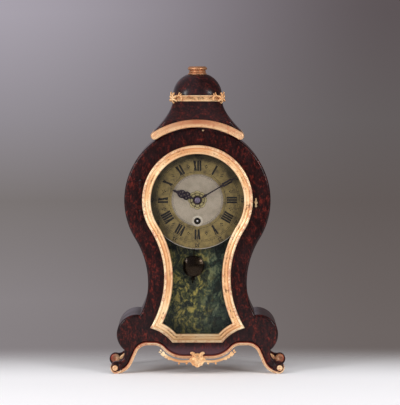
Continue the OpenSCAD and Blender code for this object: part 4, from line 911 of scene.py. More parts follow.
def marks_tree():
    """Short bars around a ring, standing like spokes."""
    tree, given, wanted = node_tree(
        "marks round a ring",
        [
            ("Count", "NodeSocketInt", 60),
            ("Radius", VALUE, 0.06),
            ("Bar", VECTOR, (0.003, 0.0004, 0.0001)),
            ("Turn", VECTOR, (0.0, 0.0, 0.0)),
            ("Move", VECTOR, (0.0, 0.0, 0.0)),
            ("Material", "NodeSocketMaterial", None),
        ],
    )
    circle = {"fill_type": "NONE"}
    ring = add(tree, "GeometryNodeMeshCircle", circle, Vertices=given["Count"], Radius=given["Radius"])
    bar = add(tree, "GeometryNodeMeshCube", Size=given["Bar"]).outputs[0]
    spot = add(tree, "GeometryNodeInputPosition").outputs[0]
    spoke = add(tree, "FunctionNodeAlignEulerToVector", {"axis": "X"}, Vector=spot).outputs[0]
    spots = {"Points": ring.outputs[0], "Instance": bar, "Rotation": spoke}
    copies = add(tree, "GeometryNodeInstanceOnPoints", **spots).outputs[0]
    turn, move = given["Turn"], given["Move"]
    moved = add(tree, "GeometryNodeTransform", Geometry=copies, Translation=move, Rotation=turn)
    finish_tree(tree, moved.outputs[0], given["Material"], wanted)
    return tree


def leaves_tree():
    """Plump leaves on the points of a line, each along the line's own direction."""
    tree, given, wanted = node_tree(
        "leaves along a line",
        [
            ("Count", "NodeSocketInt", 8),
            ("Leaf", VECTOR, (0.003, 0.0016, 0.0012)),
            ("Splay", VALUE, 0.6),
            ("Shrink", VALUE, 0.4),
            ("Material", "NodeSocketMaterial", None),
        ],
    )
    line = add(tree, "GeometryNodeMeshToCurve", Mesh=given["Geometry"]).outputs[0]
    even = add(tree, "GeometryNodeResampleCurve", Curve=line, Count=given["Count"]).outputs[0]
    leaf = add(tree, "GeometryNodeMeshUVSphere", Segments=14, Rings=9, Radius=1.0).outputs[0]
    shaped = add(tree, "GeometryNodeTransform", Geometry=leaf, Scale=given["Leaf"]).outputs[0]
    slid = add(tree, "ShaderNodeCombineXYZ", X=axes(tree, given["Leaf"])[0]).outputs[0]
    rooted = add(tree, "GeometryNodeTransform", Geometry=shaped, Translation=slid).outputs[0]
    along = add(tree, "GeometryNodeInputTangent").outputs[0]
    heading = add(tree, "FunctionNodeAlignEulerToVector", {"axis": "X"}, Vector=along).outputs[0]
    splay = add(tree, "ShaderNodeCombineXYZ", Y=given["Splay"]).outputs[0]
    turned = add(tree, "FunctionNodeRotateEuler", {"space": "LOCAL"}, Rotation=heading, _1=splay).outputs[0]
    share = add(tree, "GeometryNodeSplineParameter").outputs[0]
    size = minus(tree, 1.0, times(tree, share, given["Shrink"]))
    spots = {"Points": even, "Instance": rooted, "Rotation": turned, "Scale": size}
    copies = add(tree, "GeometryNodeInstanceOnPoints", **spots)
    finish_tree(tree, copies.outputs[0], given["Material"], wanted)
    return tree


def grow(kind, material, values, line=None):
    """The plain mesh that a tree makes with these inputs, from a line of points in metres."""
    tree = Stage.trees[kind]
    seed = bpy.data.meshes.new("seed")
    points = line or [(0.0, 0.0, 0.0)]
    seed.from_pydata(points, [(i, i + 1) for i in range(len(points) - 1)], [])
    carrier = new_object("seed", seed)
    modifier = carrier.modifiers.new("tree", "NODES")
    modifier.node_group = tree
    values = {**values, "Material": material}
    for item in tree.interface.items_tree:
        if item.in_out == "INPUT" and item.name in values:
            modifier[item.identifier] = values[item.name]
    carrier.update_tag()
    settle(carrier)
    mesh = carrier.data
    bpy.data.objects.remove(carrier)
    if not mesh.polygons:
        raise RuntimeError(f"{tree.name} made nothing")
    return mesh


def joined(meshes):
    """Several meshes in metres as one."""
    work = bmesh.new()
    for mesh in meshes:
        work.from_mesh(mesh)
    out = bpy.data.meshes.new("joined")
    work.to_mesh(out)
    work.free()
    return out


class Stage:
    """What the operators share while the scene is made."""

    palette = None
    trees = {}


def paint(name):
    """One of the finishes."""
    return Stage.palette.made[name]


# Case


def rounded_panel(outline, hole, face_y, back_y, rounding, ledge=None):
    """A board with a rounded front edge and an opening, and a ledge inside that if one is given."""
    way = 1 if back_y > face_y else -1
    steps = 7
    rings = [(0.0, back_y), (0.0, face_y + way * rounding)]
    for k in range(1, steps + 1):
        a = math.pi / 2 * k / steps
        rings.append((rounding * (1 - math.cos(a)), face_y + way * rounding * (1 - math.sin(a))))
    rings.append((rounding + 0.4, face_y))
    loops = [[(x, y, z) for x, z in inset(outline, t)] for t, y in rings]
    verts, faces = loft(loops)
    n = len(outline)
    rim = range(len(verts) - n, len(verts))
    cuts = [(hole, face_y), (hole, back_y)]
    if ledge:
        inner, depth = ledge
        cuts = [(hole, face_y), (hole, face_y + way * depth), (inner, face_y + way * depth), (inner, back_y)]
    starts = []
    for loop, y in cuts:
        starts.append(len(verts))
        verts += [(x, y, z) for x, z in loop]
    m = len(hole)
    for a, b in ((0, 1), (2, 3))[: len(cuts) // 2]:
        faces += between(starts[a], starts[b], m)
    if ledge:
        faces += fill(verts, range(starts[1], starts[1] + m), range(starts[2], starts[2] + m))
    faces += fill(verts, rim, range(starts[0], starts[0] + m))
    faces += fill(verts, range(n), range(starts[-1], starts[-1] + m))
    return verts, faces


def rectangle(w, z0, z1):
    """A rectangle about the middle line, as [x, z]."""
    return [(-w, z0), (w, z0), (w, z1), (-w, z1)]


class OBJECT_OT_clock_case(bpy.types.Operator):
    """Builds the front and back panels and the bent sides of the case"""

    bl_idname = "clock.case"
    bl_label = "Case"

    def execute(self, context):
        wood = paint("case paint"), "painted_wood"
        rounding = context.scene.clock_sizes.edge_round / MM
        front = tidy(panel_outline(STRIP_T, SCROLL_X))
        window = tidy(door_outline(FRAME_W - 3.0))
        shape = rounded_panel(front, window, FRONT_Y, INNER_FRONT_Y, rounding)
        build("front_board", "case", *shape, *wood, ("front_panel",))
        back = tidy(panel_outline(0.0, SCROLL_X + REAR_SPLAY))
        w, low, high = REAR_W + REAR_GAP, REAR_Z0 - REAR_GAP, REAR_Z1 + REAR_GAP
        ledge = (rectangle(w - REAR_SEAT, low + REAR_SEAT, high - REAR_SEAT), REAR_T)
        shape = rounded_panel(back, rectangle(w, low, high), BACK_Y, INNER_BACK_Y, BACK_ROUND, ledge)
        build("back_board", "case", *shape, *wood, ("back_panel",))
        outer, inner = case_side(), case_side(SIDE_T)
        edges = ((outer, INNER_FRONT_Y), (outer, INNER_BACK_Y), (inner, INNER_BACK_Y), (inner, INNER_FRONT_Y))
        for name, side in (("right", 1), ("left", -1)):
            shape = rail([[(side * x, y, z) for x, z in loop] for loop, y in edges])
            build(f"side_wall_{name}", "case", *shape, *wood, (f"side_{name}",))
        return {"FINISHED"}


class OBJECT_OT_clock_hood(bpy.types.Operator):
    """Builds the hollow-sided roof, the dome and the gilt finial"""

    bl_idname = "clock.hood"
    bl_label = "Hood"

    def execute(self, context):
        self.roof()
        self.dome()
        self.finial()
        self.pins()
        return {"FINISHED"}

    def roof(self):
        """Four hollow sides that sweep up from the mouldings to the neck, over the round head."""
        count = 160
        eave_z = CORNICE_Z + math.sqrt((CORNICE_R + CORNICE_H) ** 2 - CORE_X**2)
        side_z = CORNICE_Z + CORNICE_R + CORNICE_H - 2.0

        def reach(full, low, z):
            s = min(1.0, max(0.0, (z - low) / (BAND_Z - low)))
            return NECK_W + (full - NECK_W) * (1 - s) ** ROOF_SWEEP

        rings = []
        levels = [ROOF_Z + (BAND_Z - ROOF_Z) * i / 60 for i in range(61)]
        for k, z in enumerate(levels):
            wx, wy = reach(CORE_X - 0.05, eave_z, z), reach(CORE_Y - 0.05, side_z, z)
            wx -= TUCK * min(1.0, max(0.0, (TUCK_Z - z) / TUCK_RUN))
            power = 9.0 + 26.0 * (1 - (z - levels[0]) / (levels[-1] - levels[0]))
            ring = []
            for x, y in superellipse(wx, wy, power, count):
                low = DIAL_Z + math.sqrt(max(0.0, (HEAD_R + 0.05) ** 2 - x * x)) + 0.01 * k
                ring.append((x, y, max(z, low)))
            rings.append(ring)
        verts, faces = loft(rings)
        faces += [(i, i + 1, count - i - 1, (count - i) % count) for i in range(count // 2)]
        faces.append(tuple(range(len(verts) - count, len(verts))))
        build("roof", "case", verts, faces, paint("hood paint shaded"), "painted_wood", ("hood_roof",), 50.0)

    def dome(self):
        """The cushion dome, squarer at its foot."""
        foot = BAND_Z + BAND_H + 0.05
        rings = []
        for i in range(29):
            a = math.radians(i * DOME_CUT / 28)
            s = math.sin(a) / math.sin(math.radians(DOME_CUT))
            w = DOME_W * math.cos(a)
            z = foot + (DOME_H - 0.1) * s
            rings.append([(x, y, z) for x, y in superellipse(w, w, DOME_SQUARE - 0.6 * s, 160)])
        build("dome", "case", *capped(rings), paint("hood paint shaded"), "painted_wood", ("hood_dome",), 60.0)

    def finial(self):
        """A gilt spool, whose relief tells the gilding where its beads and its hollows are."""
        line = [(-0.9, 0.0), (-0.4, 0.8), (-0.9, 1.9), (-2.4, 2.6), (-2.0, 3.4), (-1.7, 4.4), (-2.2, 5.5)]
        line += [(-2.6, 6.2), (-1.2, 6.9), (0.0, 8.2), (-0.1, 9.6), (-1.2, 11.0), (-3.0, FINIAL_H)]
        line += [(-4.6, 11.6), (-5.4, 10.8)]
        profile = [(0.0, 0.0), *flowing([(FINIAL_R + u, z) for u, z in line], 5), (0.0, 10.6)]
        base = BAND_Z + BAND_H + DOME_H
        verts, faces = lathe(profile, 96, lambda x, y, z: (x, y, base + z))
        # Beads get pale leaf as painted highlight; the deep grooves' negative relief darkens them with dirt
        # and painted shade.
        relief = {0.9: 1.0, 2.7: -3.4, 4.4: -0.9, 6.3: -3.6, 8.9: 0.1, 11.9: -4.0}
        values = []
        for x, y, z in verts:
            spot = min(relief, key=lambda k: abs(k - (z - base)))
            values.append(0.4 * relief[spot] * max(0.0, 1 - abs(spot - (z - base)) / 1.6))
        tone = paint("finial gilding")
        blush = [0.5] * len(values)
        build("spool_finial", "case", verts, faces, tone, "gilt", ("finial",), 60.0, values, None, blush)

    def pins(self):
        """Two dark iron pins in the front of the dome's foot, which paint the shade of two dark hollows seen
        there.
        """
        profile = [(0.0, -0.55), (0.6, -0.45), (1.05, -0.1), (1.15, 0.35), (1.15, 1.2), (0.0, 1.2)]
        pins = []
        for x in SHADE_PINS_X:
            y = -DOME_W * (1 - (abs(x) / DOME_W) ** DOME_SQUARE) ** (1 / DOME_SQUARE)
            pins.append(lathe(profile, 20, lambda a, b, c, x=x, y=y: (x + a, y + c, SHADE_PINS_Z + b)))
        build("dome_shade_pins", "case", *merge(pins), paint("old iron"), "dark_iron")


class OBJECT_OT_clock_mouldings(bpy.types.Operator):
    """Builds the gilt arched moulding, the band, its corner mounts and the strip under the apron"""

    bl_idname = "clock.mouldings"
    bl_label = "Gilt mouldings"

    def execute(self, context):
        self.arched_moulding()
        profile = [(0.6, 0.1), (0.0, 0.9), (0.1, 1.8), (1.2, 2.8), (1.5, 4.6), (1.2, 6.6), (0.1, 7.6)]
        profile = flowing([*profile, (0.0, 8.5), (0.7, 9.2)], 3)
        count = 128
        rings = []
        for t, z in profile:
            loop = superellipse(BAND_W - t, BAND_W - t, BAND_SQUARE, count)
            rings.append([(x, y, BAND_Z + z) for x, y in loop])
        values = [0.7 - 1.1 * t for t, _ in profile for _ in range(count)]
        gold = paint("cast gilding")
        build("gilt_band", "case", *capped(rings), gold, "gilt", ("hood_band",), 50.0, values)
        self.corner_mounts(context.scene.clock_sizes.petals)
        self.apron_strip()
        return {"FINISHED"}

    def arched_moulding(self):
        """The moulding under the hood: an arch in front and behind, and a straight bar on each side."""
        bull = flowing([(0.0, 0.0), (0.25, 1.6), (1.2, 2.9), (2.6, 3.5), (4.2, 3.6), (5.3, 3.35)], 4)
        parts, values = [], []
        for way in (-1, 1):
            edge = way * (CORNICE_Y - CORNICE_NOSE)
            rings = [[(x, way * CORE_Y, z) for x, z in cornice_outline()]]
            rings += [[(x, edge + way * d, z) for x, z in cornice_outline(t)] for t, d in bull]
            parts.append(filled(rings))
            values += [min(1.0, abs(v[1]) - CORNICE_Y + 3.2) * 0.6 for v in parts[-1][0]]
        middle = CORNICE_R + CORNICE_H / 2
        end = math.acos((CORNICE_X - CORNICE_H / 2) / middle)
        centre = (middle * math.cos(end), CORNICE_Z + middle * math.sin(end))
        start = math.degrees(math.acos((CORE_X + 0.05 - centre[0]) / (CORNICE_H / 2)))
        section = arc(centre, CORNICE_H / 2, -start, start, 20)
        depths = (CORNICE_NOSE - CORNICE_Y, CORNICE_Y - CORNICE_NOSE)
        for side in (1, -1):
            parts.append(capped([[(side * x, y, z) for x, z in section] for y in depths]))
            values += [0.3] * len(parts[-1][0])
        verts, faces = merge(parts)
        blush = []
        for x, y, z in verts:
            share = (math.dist((x, z), (0.0, CORNICE_Z)) - CORNICE_R) / CORNICE_H
            middling = 1.0 - 0.72 * min(1.0, abs(x) / 56.0)
            blush.append((0.16 + max(0.0, min(0.9, (share - 0.3) / 0.3))) * middling)
        finish = paint("moulding gilding"), "gilt", ("hood_moulding",), 40.0
        build("arched_moulding", "case", verts, faces, *finish, values, None, blush)

    def corner_mounts(self, petals):
        """Leafy mounts on the corners of the band."""
        reach = BAND_W * 0.5 ** (1 / BAND_SQUARE) * math.sqrt(2) + 0.1
        material = paint("cast gilding")
        boss = [(0.0, 4.7), (1.1, 4.5), (2.2, 3.6), (2.9, 2.2), (3.2, 0.2), (0.0, 0.2)]
        petal = ((1.2, 1.6), (3.0, 2.6), (5.0, 2.3), (6.0, 1.4))
        values = {"Count": 4, "Leaf": (0.0017, 0.0023, 0.0017), "Splay": 0.0, "Shrink": 0.16}
        meshes = []
        for corner in range(4):
            a = math.radians(45 + 90 * corner)
            out = Vector((math.cos(a), math.sin(a), 0.0))
            along = Vector((-out.y, out.x, 0.0))
            centre = out * reach + Vector((0.0, 0.0, BAND_Z + BAND_H / 2))
            for k in range(petals):
                b = math.radians(90 + 360 * k / petals)
                way = along * math.cos(b) + Vector((0.0, 0.0, math.sin(b)))
                size = 1.0 if k % 2 == 0 else 0.86
                line = [tuple((centre + out * d + way * (q * size)) * MM) for q, d in petal]
                meshes.append(grow("leaves", material, values, line))

            def place(u, v, w, centre=centre, along=along, out=out):
                return tuple(centre + along * u + Vector((0.0, 0.0, v)) + out * w)

            meshes.append(raw(*lathe(boss, 24, place)))
            for face in (0, 1):
                meshes += self.band_scroll(corner, face, material)
        dress("corner_leaves", "case", joined(meshes), material, "gilt", ("hood_corner_mounts",), 70.0)

    def band_scroll(self, corner, face, material):
        """A leafy scroll that runs from a corner mount along one face of the band."""
        sx, sy = (1, -1, -1, 1)[corner], (1, 1, -1, -1)[corner]
        line = [(4.5, 0.6, 0.0), (8.0, 3.4, 0.7), (11.6, 3.8, 1.0)]
        line += [(14.2, 1.4, 1.0), (13.2, -1.4, 1.2), (10.8, -1.0, 1.3)]
        out = Vector((0.0, sy, 0.0)) if face == 0 else Vector((sx, 0.0, 0.0))
        spots = []
        for u, v, proud in flowing(line, 4):
            near, far = BAND_W - u, BAND_W + 0.4 + proud
            x, y = (near, far) if face == 0 else (far, near)
            spots.append(Vector((sx * x, sy * y, BAND_Z + BAND_H / 2 + v)))
        rings = []
        for i, p in enumerate(spots):
            ahead = (spots[min(i + 1, len(spots) - 1)] - spots[max(i - 1, 0)]).normalized()
            across = ahead.cross(out).normalized()
            wide = 0.75 + 0.7 * math.sin(math.pi * min(1.0, i / len(spots) * 1.25)) ** 2
            turns = [(wide * math.cos(b), 0.9 * math.sin(b)) for b in full_turn(10)]
            rings.append([tuple(p + across * u + out * w) for u, w in turns])
        made = [raw(*capped(rings))]
        values = {"Count": 3, "Leaf": (0.0012, 0.0014, 0.0012), "Splay": 0.0, "Shrink": 0.25}
        for start, rise in ((6, 3.4), (9, 3.0), (12, -2.6)):
            root = spots[start]
            slide = (spots[start + 1] - root).normalized()
            tips = [root + slide * (1.1 * q) + Vector((0.0, 0.0, rise * q)) for q in (0.0, 0.5, 1.0)]
            made.append(grow("leaves", material, values, [tuple(t * MM) for t in tips]))
        return made

    def apron_strip(self):
        """Gilt strip along the legs and under the apron."""
        # Each row: way into the wood, depth, relief and bare clay of one line of the strip; the red towards
        # its upper edge is painted shadow of the fillet as well as bare clay.
        section = (
            (STRIP_T - 0.05, -53.0, -1.2, 0.2),
            (0.0, -53.0, -0.6, 0.1),
            (0.0, -61.6, -0.5, 0.1),
            (0.25, -62.3, 0.4, 0.1),
            (0.7, -62.65, 1.0, 0.1),
            (1.2, -62.55, 0.2, 0.3),
            (1.5, -62.2, -1.3, 0.7),
            (1.9, -62.45, 0.3, 0.15),
            (2.8, -62.78, 0.7, 0.2),
            (3.7, -62.7, 0.1, 0.7),
            (4.4, -62.35, -0.9, 1.0),
            (STRIP_T - 0.05, -61.9, -1.5, 1.0),
        )
        lines, values, blush = [], [], []
        for t, y, tone, red in section:
            half = lower_edge(t)
            lines.append([(x, y, z) for x, z in half + [(-x, z) for x, z in reversed(half[:-1])]])
            values += [tone] * len(lines[-1])
            blush += [red] * len(lines[-1])
        finish = paint("gilding"), "gilt", ("apron_strip",), 40.0
        build("gilt_strip", "case", *rail(lines), *finish, values, None, blush)
        self.foot_curls()

    def foot_curls(self):
        """The end of the gilt strip, which turns up round the lower side of each front scroll."""
        parts, values, blush = [], [], []
        for side in (1, -1):
            rings = []
            for k in range(37):
                q = k / 36
                a = math.radians(-152 + 188 * q)
                wide = 0.5 + 3.0 * (1 - q) ** 0.8 * min(1.0, 0.35 + 3 * q)
                ring = []
                for t, d in ((0.05, 0.0), (0.05, 0.75), (0.3, 1.0), (0.7, 1.0), (1.0, 0.7), (1.0, 0.0)):
                    r = SCROLL_R - 0.06 - wide * t
                    z = max(0.06, SCROLL_Z + r * math.sin(a))
                    ring.append((side * (SCROLL_X + r * math.cos(a)), FRONT_Y - 0.6 - d, z))
                rings.append(ring)
                values += [-0.8, 0.3, 0.9, 0.9, -0.4, -1.2]
                blush += [0.2, 0.2, 0.1, 0.2, 0.7, 0.7]
            parts.append(capped(rings))
        build("foot_curls", "case", *merge(parts), paint("gilding"), "gilt", (), 40.0, values, None, blush)


class OBJECT_OT_clock_feet(bpy.types.Operator):
    """Builds the four foot scrolls: a painted rim that curls round a gilt eye"""

    bl_idname = "clock.feet"
    bl_label = "Foot scrolls"

    def execute(self, context):
        rims, eyes, values, blush = [], [], [], []
        for side in (1, -1):
            for x, y0, y1, eye_at, eye_r in (
                (SCROLL_X, FRONT_Y - 1.2, INNER_FRONT_Y + 1.2, (2.1, -0.4), 4.4),
                (SCROLL_X + REAR_SPLAY, INNER_BACK_Y - 1.2, BACK_Y + 1.2, (0.4, 1.1), 7.0),
            ):
                rims.append(self.rim(side, x, y0, y1))
                for y, way in ((y0, -1), (y1, 1)):
                    eyes.append(self.eye(side, x + eye_at[0], SCROLL_Z + eye_at[1], y, way, eye_r))
                    values += [0.6 if abs(v[1] - y) > 0.9 else -0.8 for v in eyes[-1][0]]
                    outward = [side * v[0] - x - eye_at[0] for v in eyes[-1][0]]
                    # Painted shade: the rear foot eyes turn reddish-brown, more so on their outer side.
                    blush += [0.62 + 0.05 * u if eye_r > 5.0 else 0.12 for u in outward]
        paint_finish = paint("case paint"), "gilt", ("foot_scrolls",), 50.0
        build("scroll_feet", "case", *merge(rims), *paint_finish)
        for side in (1, -1):
            for way, base in ((-1, INNER_BACK_Y - 0.1), (1, BACK_Y + 0.1)):
                line = [(10.5, 17.0), (7.5, 13.6), (3.0, 10.2), (-2.0, 9.4), (-6.0, 12.0)]
                path = [(side * (LEG_X - u), base, z) for u, z in flowing(line, 5)]
                widths = [1.2 + 1.5 * math.sin(math.pi * i / (len(path) - 1)) for i in range(len(path))]
                eyes.append(tube(path, widths, 12, 0.5))
                values += [0.2] * len(eyes[-1][0])
                blush += [0.1] * len(eyes[-1][0])
        gilt_finish = paint("gilding"), "gilt", (), 50.0
        build("scroll_eyes", "case", *merge(eyes), *gilt_finish, values, None, blush)
        return {"FINISHED"}

    def rim(self, side, x, y0, y1):
        """The painted scroll, with a groove that winds in towards the eye."""
        steps, count = 22, 96
        rings = []
        for face, y in ((-1, y0), (1, y1)):
            for k in range(1, steps + 1):
                r = SCROLL_R * (k if face < 0 else steps + 1 - k) / steps
                edge = max(0.0, (r - SCROLL_R + 1.1) / 1.1)
                ring = []
                for i, a in enumerate(full_turn(count)):
                    wind = 4.6 + 3.2 * i / count
                    off = min(abs(r - wind), abs(r - wind - 3.2), abs(r - wind + 3.2))
                    groove = max(0.0, 1 - (off / 0.8) ** 2)
                    sunk = 0.55 * groove * min(1.0, (SCROLL_R - r) / 0.8) + 0.8 * edge * edge
                    z = max(0.0, SCROLL_Z - r * math.sin(a))
                    ring.append((side * (x + r * math.cos(a)), y - face * sunk, z))
                rings.append(ring)
        verts, faces = loft(rings)
        for y, ring in ((y0, 0), (y1, 2 * steps - 1)):
            cover(verts, faces, ring, count, (side * x, y, SCROLL_Z))
        return verts, faces

    def eye(self, side, x, z, y, way, r):
        """A domed gilt button with a dimple."""
        profile = [(0.0, 0.5), (0.16, 0.55), (0.3, 1.0), (0.5, 1.3), (0.72, 1.15), (0.9, 0.6), (1.0, -0.2)]
        profile = [(r * share, h) for share, h in (*profile, (0.98, -1.2), (0.0, -1.2))]
        return lathe(profile, 40, lambda u, v, h: (side * (x + u), y + way * h, max(0.1, z + v)))


class OBJECT_OT_clock_apron_mount(bpy.types.Operator):
    """Builds the cast gilt mount in the middle of the apron"""

    bl_idname = "clock.apron_mount"
    bl_label = "Apron mount"

    def execute(self, context):
        y = FRONT_Y - 0.85
        top = APRON_Z + 10.4
        material = paint("cast gilding")
        half = [(0.0, -2.0), (2.8, -2.6), (4.4, -1.2), (6.6, 0.0), (8.8, -0.4), (9.8, -2.4), (8.6, -4.6)]
        half += [(8.2, -7.0), (10.2, -9.4), (12.4, -12.0), (10.6, -14.6), (8.6, -16.6), (6.8, -19.2)]
        half += [(4.4, -21.0), (2.6, -22.6), (0.0, -23.2)]
        outline = tidy(flowing(whole([(x, top + z) for x, z in half]), 4, True))
        layers = [(0.0, 0.0), (0.0, 1.1), (0.4, 1.9), (1.1, 2.4), (1.9, 2.1), (2.6, 1.6), (3.3, 2.0)]
        layers.append((4.3, 2.9))
        meshes = [raw(*filled([[(x, y - d, z) for x, z in inset(outline, t)] for t, d in layers]))]
        boss = [(0.0, 3.7), (1.5, 3.65), (3.0, 3.4), (4.3, 2.8), (4.8, 1.4), (0.0, 1.0)]
        meshes.append(raw(*lathe(boss, 28, lambda a, b, c: (a, y - c, top - 14.0 + b * 0.9))))
        for side in (1, -1):
            for line, thick, thin in (
                ([(3.2, -7.5), (5.0, -4.2), (6.9, -1.4), (9.2, -1.0), (9.9, -3.2)], 1.7, 0.8),
                ([(6.0, -20.0), (7.6, -17.2), (9.6, -14.8), (12.0, -13.2)], 1.2, 0.7),
                ([(1.2, -21.8), (2.6, -18.6), (5.2, -16.0), (8.0, -14.0)], 1.1, 0.7),
            ):
                path = [(side * x, y - 2.2, z) for x, z in flowing([(x, top + z) for x, z in line], 5)]
                widths = [thick + (thin - thick) * i / (len(path) - 1) for i in range(len(path))]
                meshes.append(raw(*tube(path, widths, 12, 0.8)))
            meshes += self.arm(side, y, material, context.scene.clock_sizes.buds)
        dress("apron_leaves", "case", joined(meshes), material, "gilt", ("apron_mount",), 60.0)
        return {"FINISHED"}

    def arm(self, side, y, material, buds):
        """One arm of the mount: a double stem under the gilt strip, with drops and leaves on it."""
        made = []

        def along(gap, start, end, steps):
            points = arc((APRON_X, APRON_Z + APRON_R), APRON_R + gap, start, end, steps)
            return [(side * x, z) for x, z in points]

        stems = ((3.9, 255, 314, 2.0, 1.8, 1.3), (2.9, 257, 304, 0.6, 0.5, 2.9))
        for gap, start, end, thick, thin, proud in stems:
            path = [(x, y - proud, z) for x, z in along(gap, start, end, 30)]
            widths = [thick + (thin - thick) * i / 30 for i in range(31)]
            made.append(raw(*tube(path, widths, 12, 0.85)))
        for gap, start, end, splay, leaf, shrink, count in (
            (6.3, 264, 277, 0.5, 1.7, 0.0, 2),
            (4.9, 294, 306, 0.3, 2.6, 0.0, buds),
            (3.2, 308, 315.5, -0.25, 2.6, 0.2, 2),
            (5.0, 309, 315, 0.3, 2.4, 0.2, 2),
        ):
            line = [(x * MM, (y - 1.4) * MM, z * MM) for x, z in along(gap, start, end, 8)]
            shape = (leaf * MM, 1.5 * MM, 1.5 * MM)
            values = {"Count": count, "Leaf": shape, "Splay": splay * side, "Shrink": shrink}
            made.append(grow("leaves", material, values, line))
        return made


class OBJECT_OT_clock_door(bpy.types.Operator):
    """Builds the moulded gilt frame of the front door"""

    bl_idname = "clock.door"
    bl_label = "Front door"

    def execute(self, context):
        front, back = FRAME_FRONT_Y, FRAME_BACK_Y
        outer = [(0.0, 2.6), (0.25, 1.0), (1.2, 0.15), (2.4, 0.0), (3.5, 0.6), (4.2, 1.9)]
        hollow = [(4.6, 2.5), (5.3, 1.9), (6.4, 1.9), (7.4, 2.5), (8.6, 2.75), (9.3, 2.1)]
        inner = [(9.7, 1.3), (10.7, 0.9), (11.8, 1.1), (12.5, 1.9), (FRAME_W, 3.2)]
        runs = ([(t, front + d) for t, d in run] for run in (outer, hollow, inner))
        outer, hollow, inner = (flowing(run, 3) for run in runs)
        slot_front, slot_back = front + SLOT_NEAR, front + SLOT_FAR
        slot = [(SLOT_DEEP, slot_back), (SLOT_DEEP, slot_front)]
        profile = [(0.0, back), (0.0, slot_back + 0.02), *slot, (0.0, slot_front - 0.02), *outer[1:]]
        profile += [*hollow, *inner, (FRAME_W, REBATE_Y), (REBATE_T, REBATE_Y), (REBATE_T, back)]
        edge = enumerate(door_outline())
        beside = {k for k, (x, z) in edge if x > 0.0 and abs(z - SLOT_Z) < 3 * SLOT_HALF}
        rings, values = [], []
        for t, y in profile:
            ring = []
            sunk = (t, y) in slot
            for x, z in self.refined(door_outline(0.0 if sunk else t), beside):
                if sunk and x > 0.0 and abs(z - SLOT_Z) < SLOT_HALF:
                    x -= t
                worn = noise.noise(Vector((x, 7.0 * t, z)) * 0.11) * 0.12 if front < y < front + 3 else 0.0
                ring.append((x, y + worn, z))
            rings.append(ring)
            proud = (front + 1.7 - y) / 1.4
            values += [max(-1.3, min(1.0, proud))] * len(ring)
        finish = paint("moulding gilding"), "gilt", ("door_frame",), 50.0, values
        build("door_moulding", "front_door", *loft(rings, True, True), *finish)
        return {"FINISHED"}

    def refined(self, loop, beside):
        """The outline with more points where the catch's slot is cut into its edge."""
        made = []
        for k, (a, b) in enumerate(zip(loop, loop[1:] + loop[:1])):
            steps = 8 if k in beside else 1
            made += [tuple(p + (q - p) * s / steps for p, q in zip(a, b)) for s in range(steps)]
        return made


# Dial

# Degrees from one hour to the next, and radius of the minute figures
HOUR_STEP, FIGURE_RING = 30, 66.2
# Radius of the rosette between its petals, and how far they reach beyond it
ROSETTE_R, PETAL = 11.6, 2.2
# Widths of the letters' strokes
THICK, THIN, SERIF = 2.7, 1.15, 0.45
# The four dots of a half-hour mark: place across and outward, and radius
HALF_HOUR = ((0.0, 52.6, 0.8), (-1.6, 50.6, 0.75), (1.6, 50.6, 0.75), (0.0, 48.9, 1.0))


def stroke(a, b, width):
    """A straight stroke between two points, cut level at its ends."""
    slope = abs(b[1] - a[1]) / math.dist(a, b)
    half = width / 2 / max(0.5, slope)
    return [(a[0] - half, a[1]), (a[0] + half, a[1]), (b[0] + half, b[1]), (b[0] - half, b[1])]


def serif(x0, x1, z):
    """A thin level stroke on the foot or the head of a letter."""
    return [(x0, z), (x1, z), (x1, z + SERIF), (x0, z + SERIF)]


def letter(kind, height):
    """The strokes of one roman numeral letter, and its width."""
    head = height - SERIF
    if kind == "I":
        return [stroke((1.6, 0), (1.6, height), THICK), serif(0.2, 3.0, 0), serif(0.2, 3.0, head)], 3.4
    if kind == "V":
        slants = [stroke((3.0, 0), (1.4, height), THICK), stroke((3.2, 0), (4.6, height), THIN)]
        return [*slants, serif(0.1, 2.8, head), serif(3.8, 5.5, head)], 5.7
    slants = [stroke((4.2, 0), (1.4, height), THICK), stroke((1.4, 0), (4.2, height), THIN)]
    feet = [serif(0.5, 2.3, 0), serif(3.0, 5.5, 0)]
    return [*slants, *feet, serif(0.1, 2.7, head), serif(3.3, 5.1, head)], 5.7


NUMERALS = ["XII", "I", "II", "III", "IIII", "V", "VI", "VII", "VIII", "IX", "X", "XI"]


def on_dial(at, u, v):
    """A point u across and v outward on the dial, at a bearing in degrees from twelve, as [x, z]."""
    a = math.radians(at)
    return (math.sin(a) * v + math.cos(a) * u, DIAL_Z + math.cos(a) * v - math.sin(a) * u)


def ring_line(radius, width, y0, y1):
    """A thin raised line round the dial."""
    return hoop(((radius, y1), (radius, y0), (radius + width, y0), (radius + width, y1)), DIAL_Z, 160)


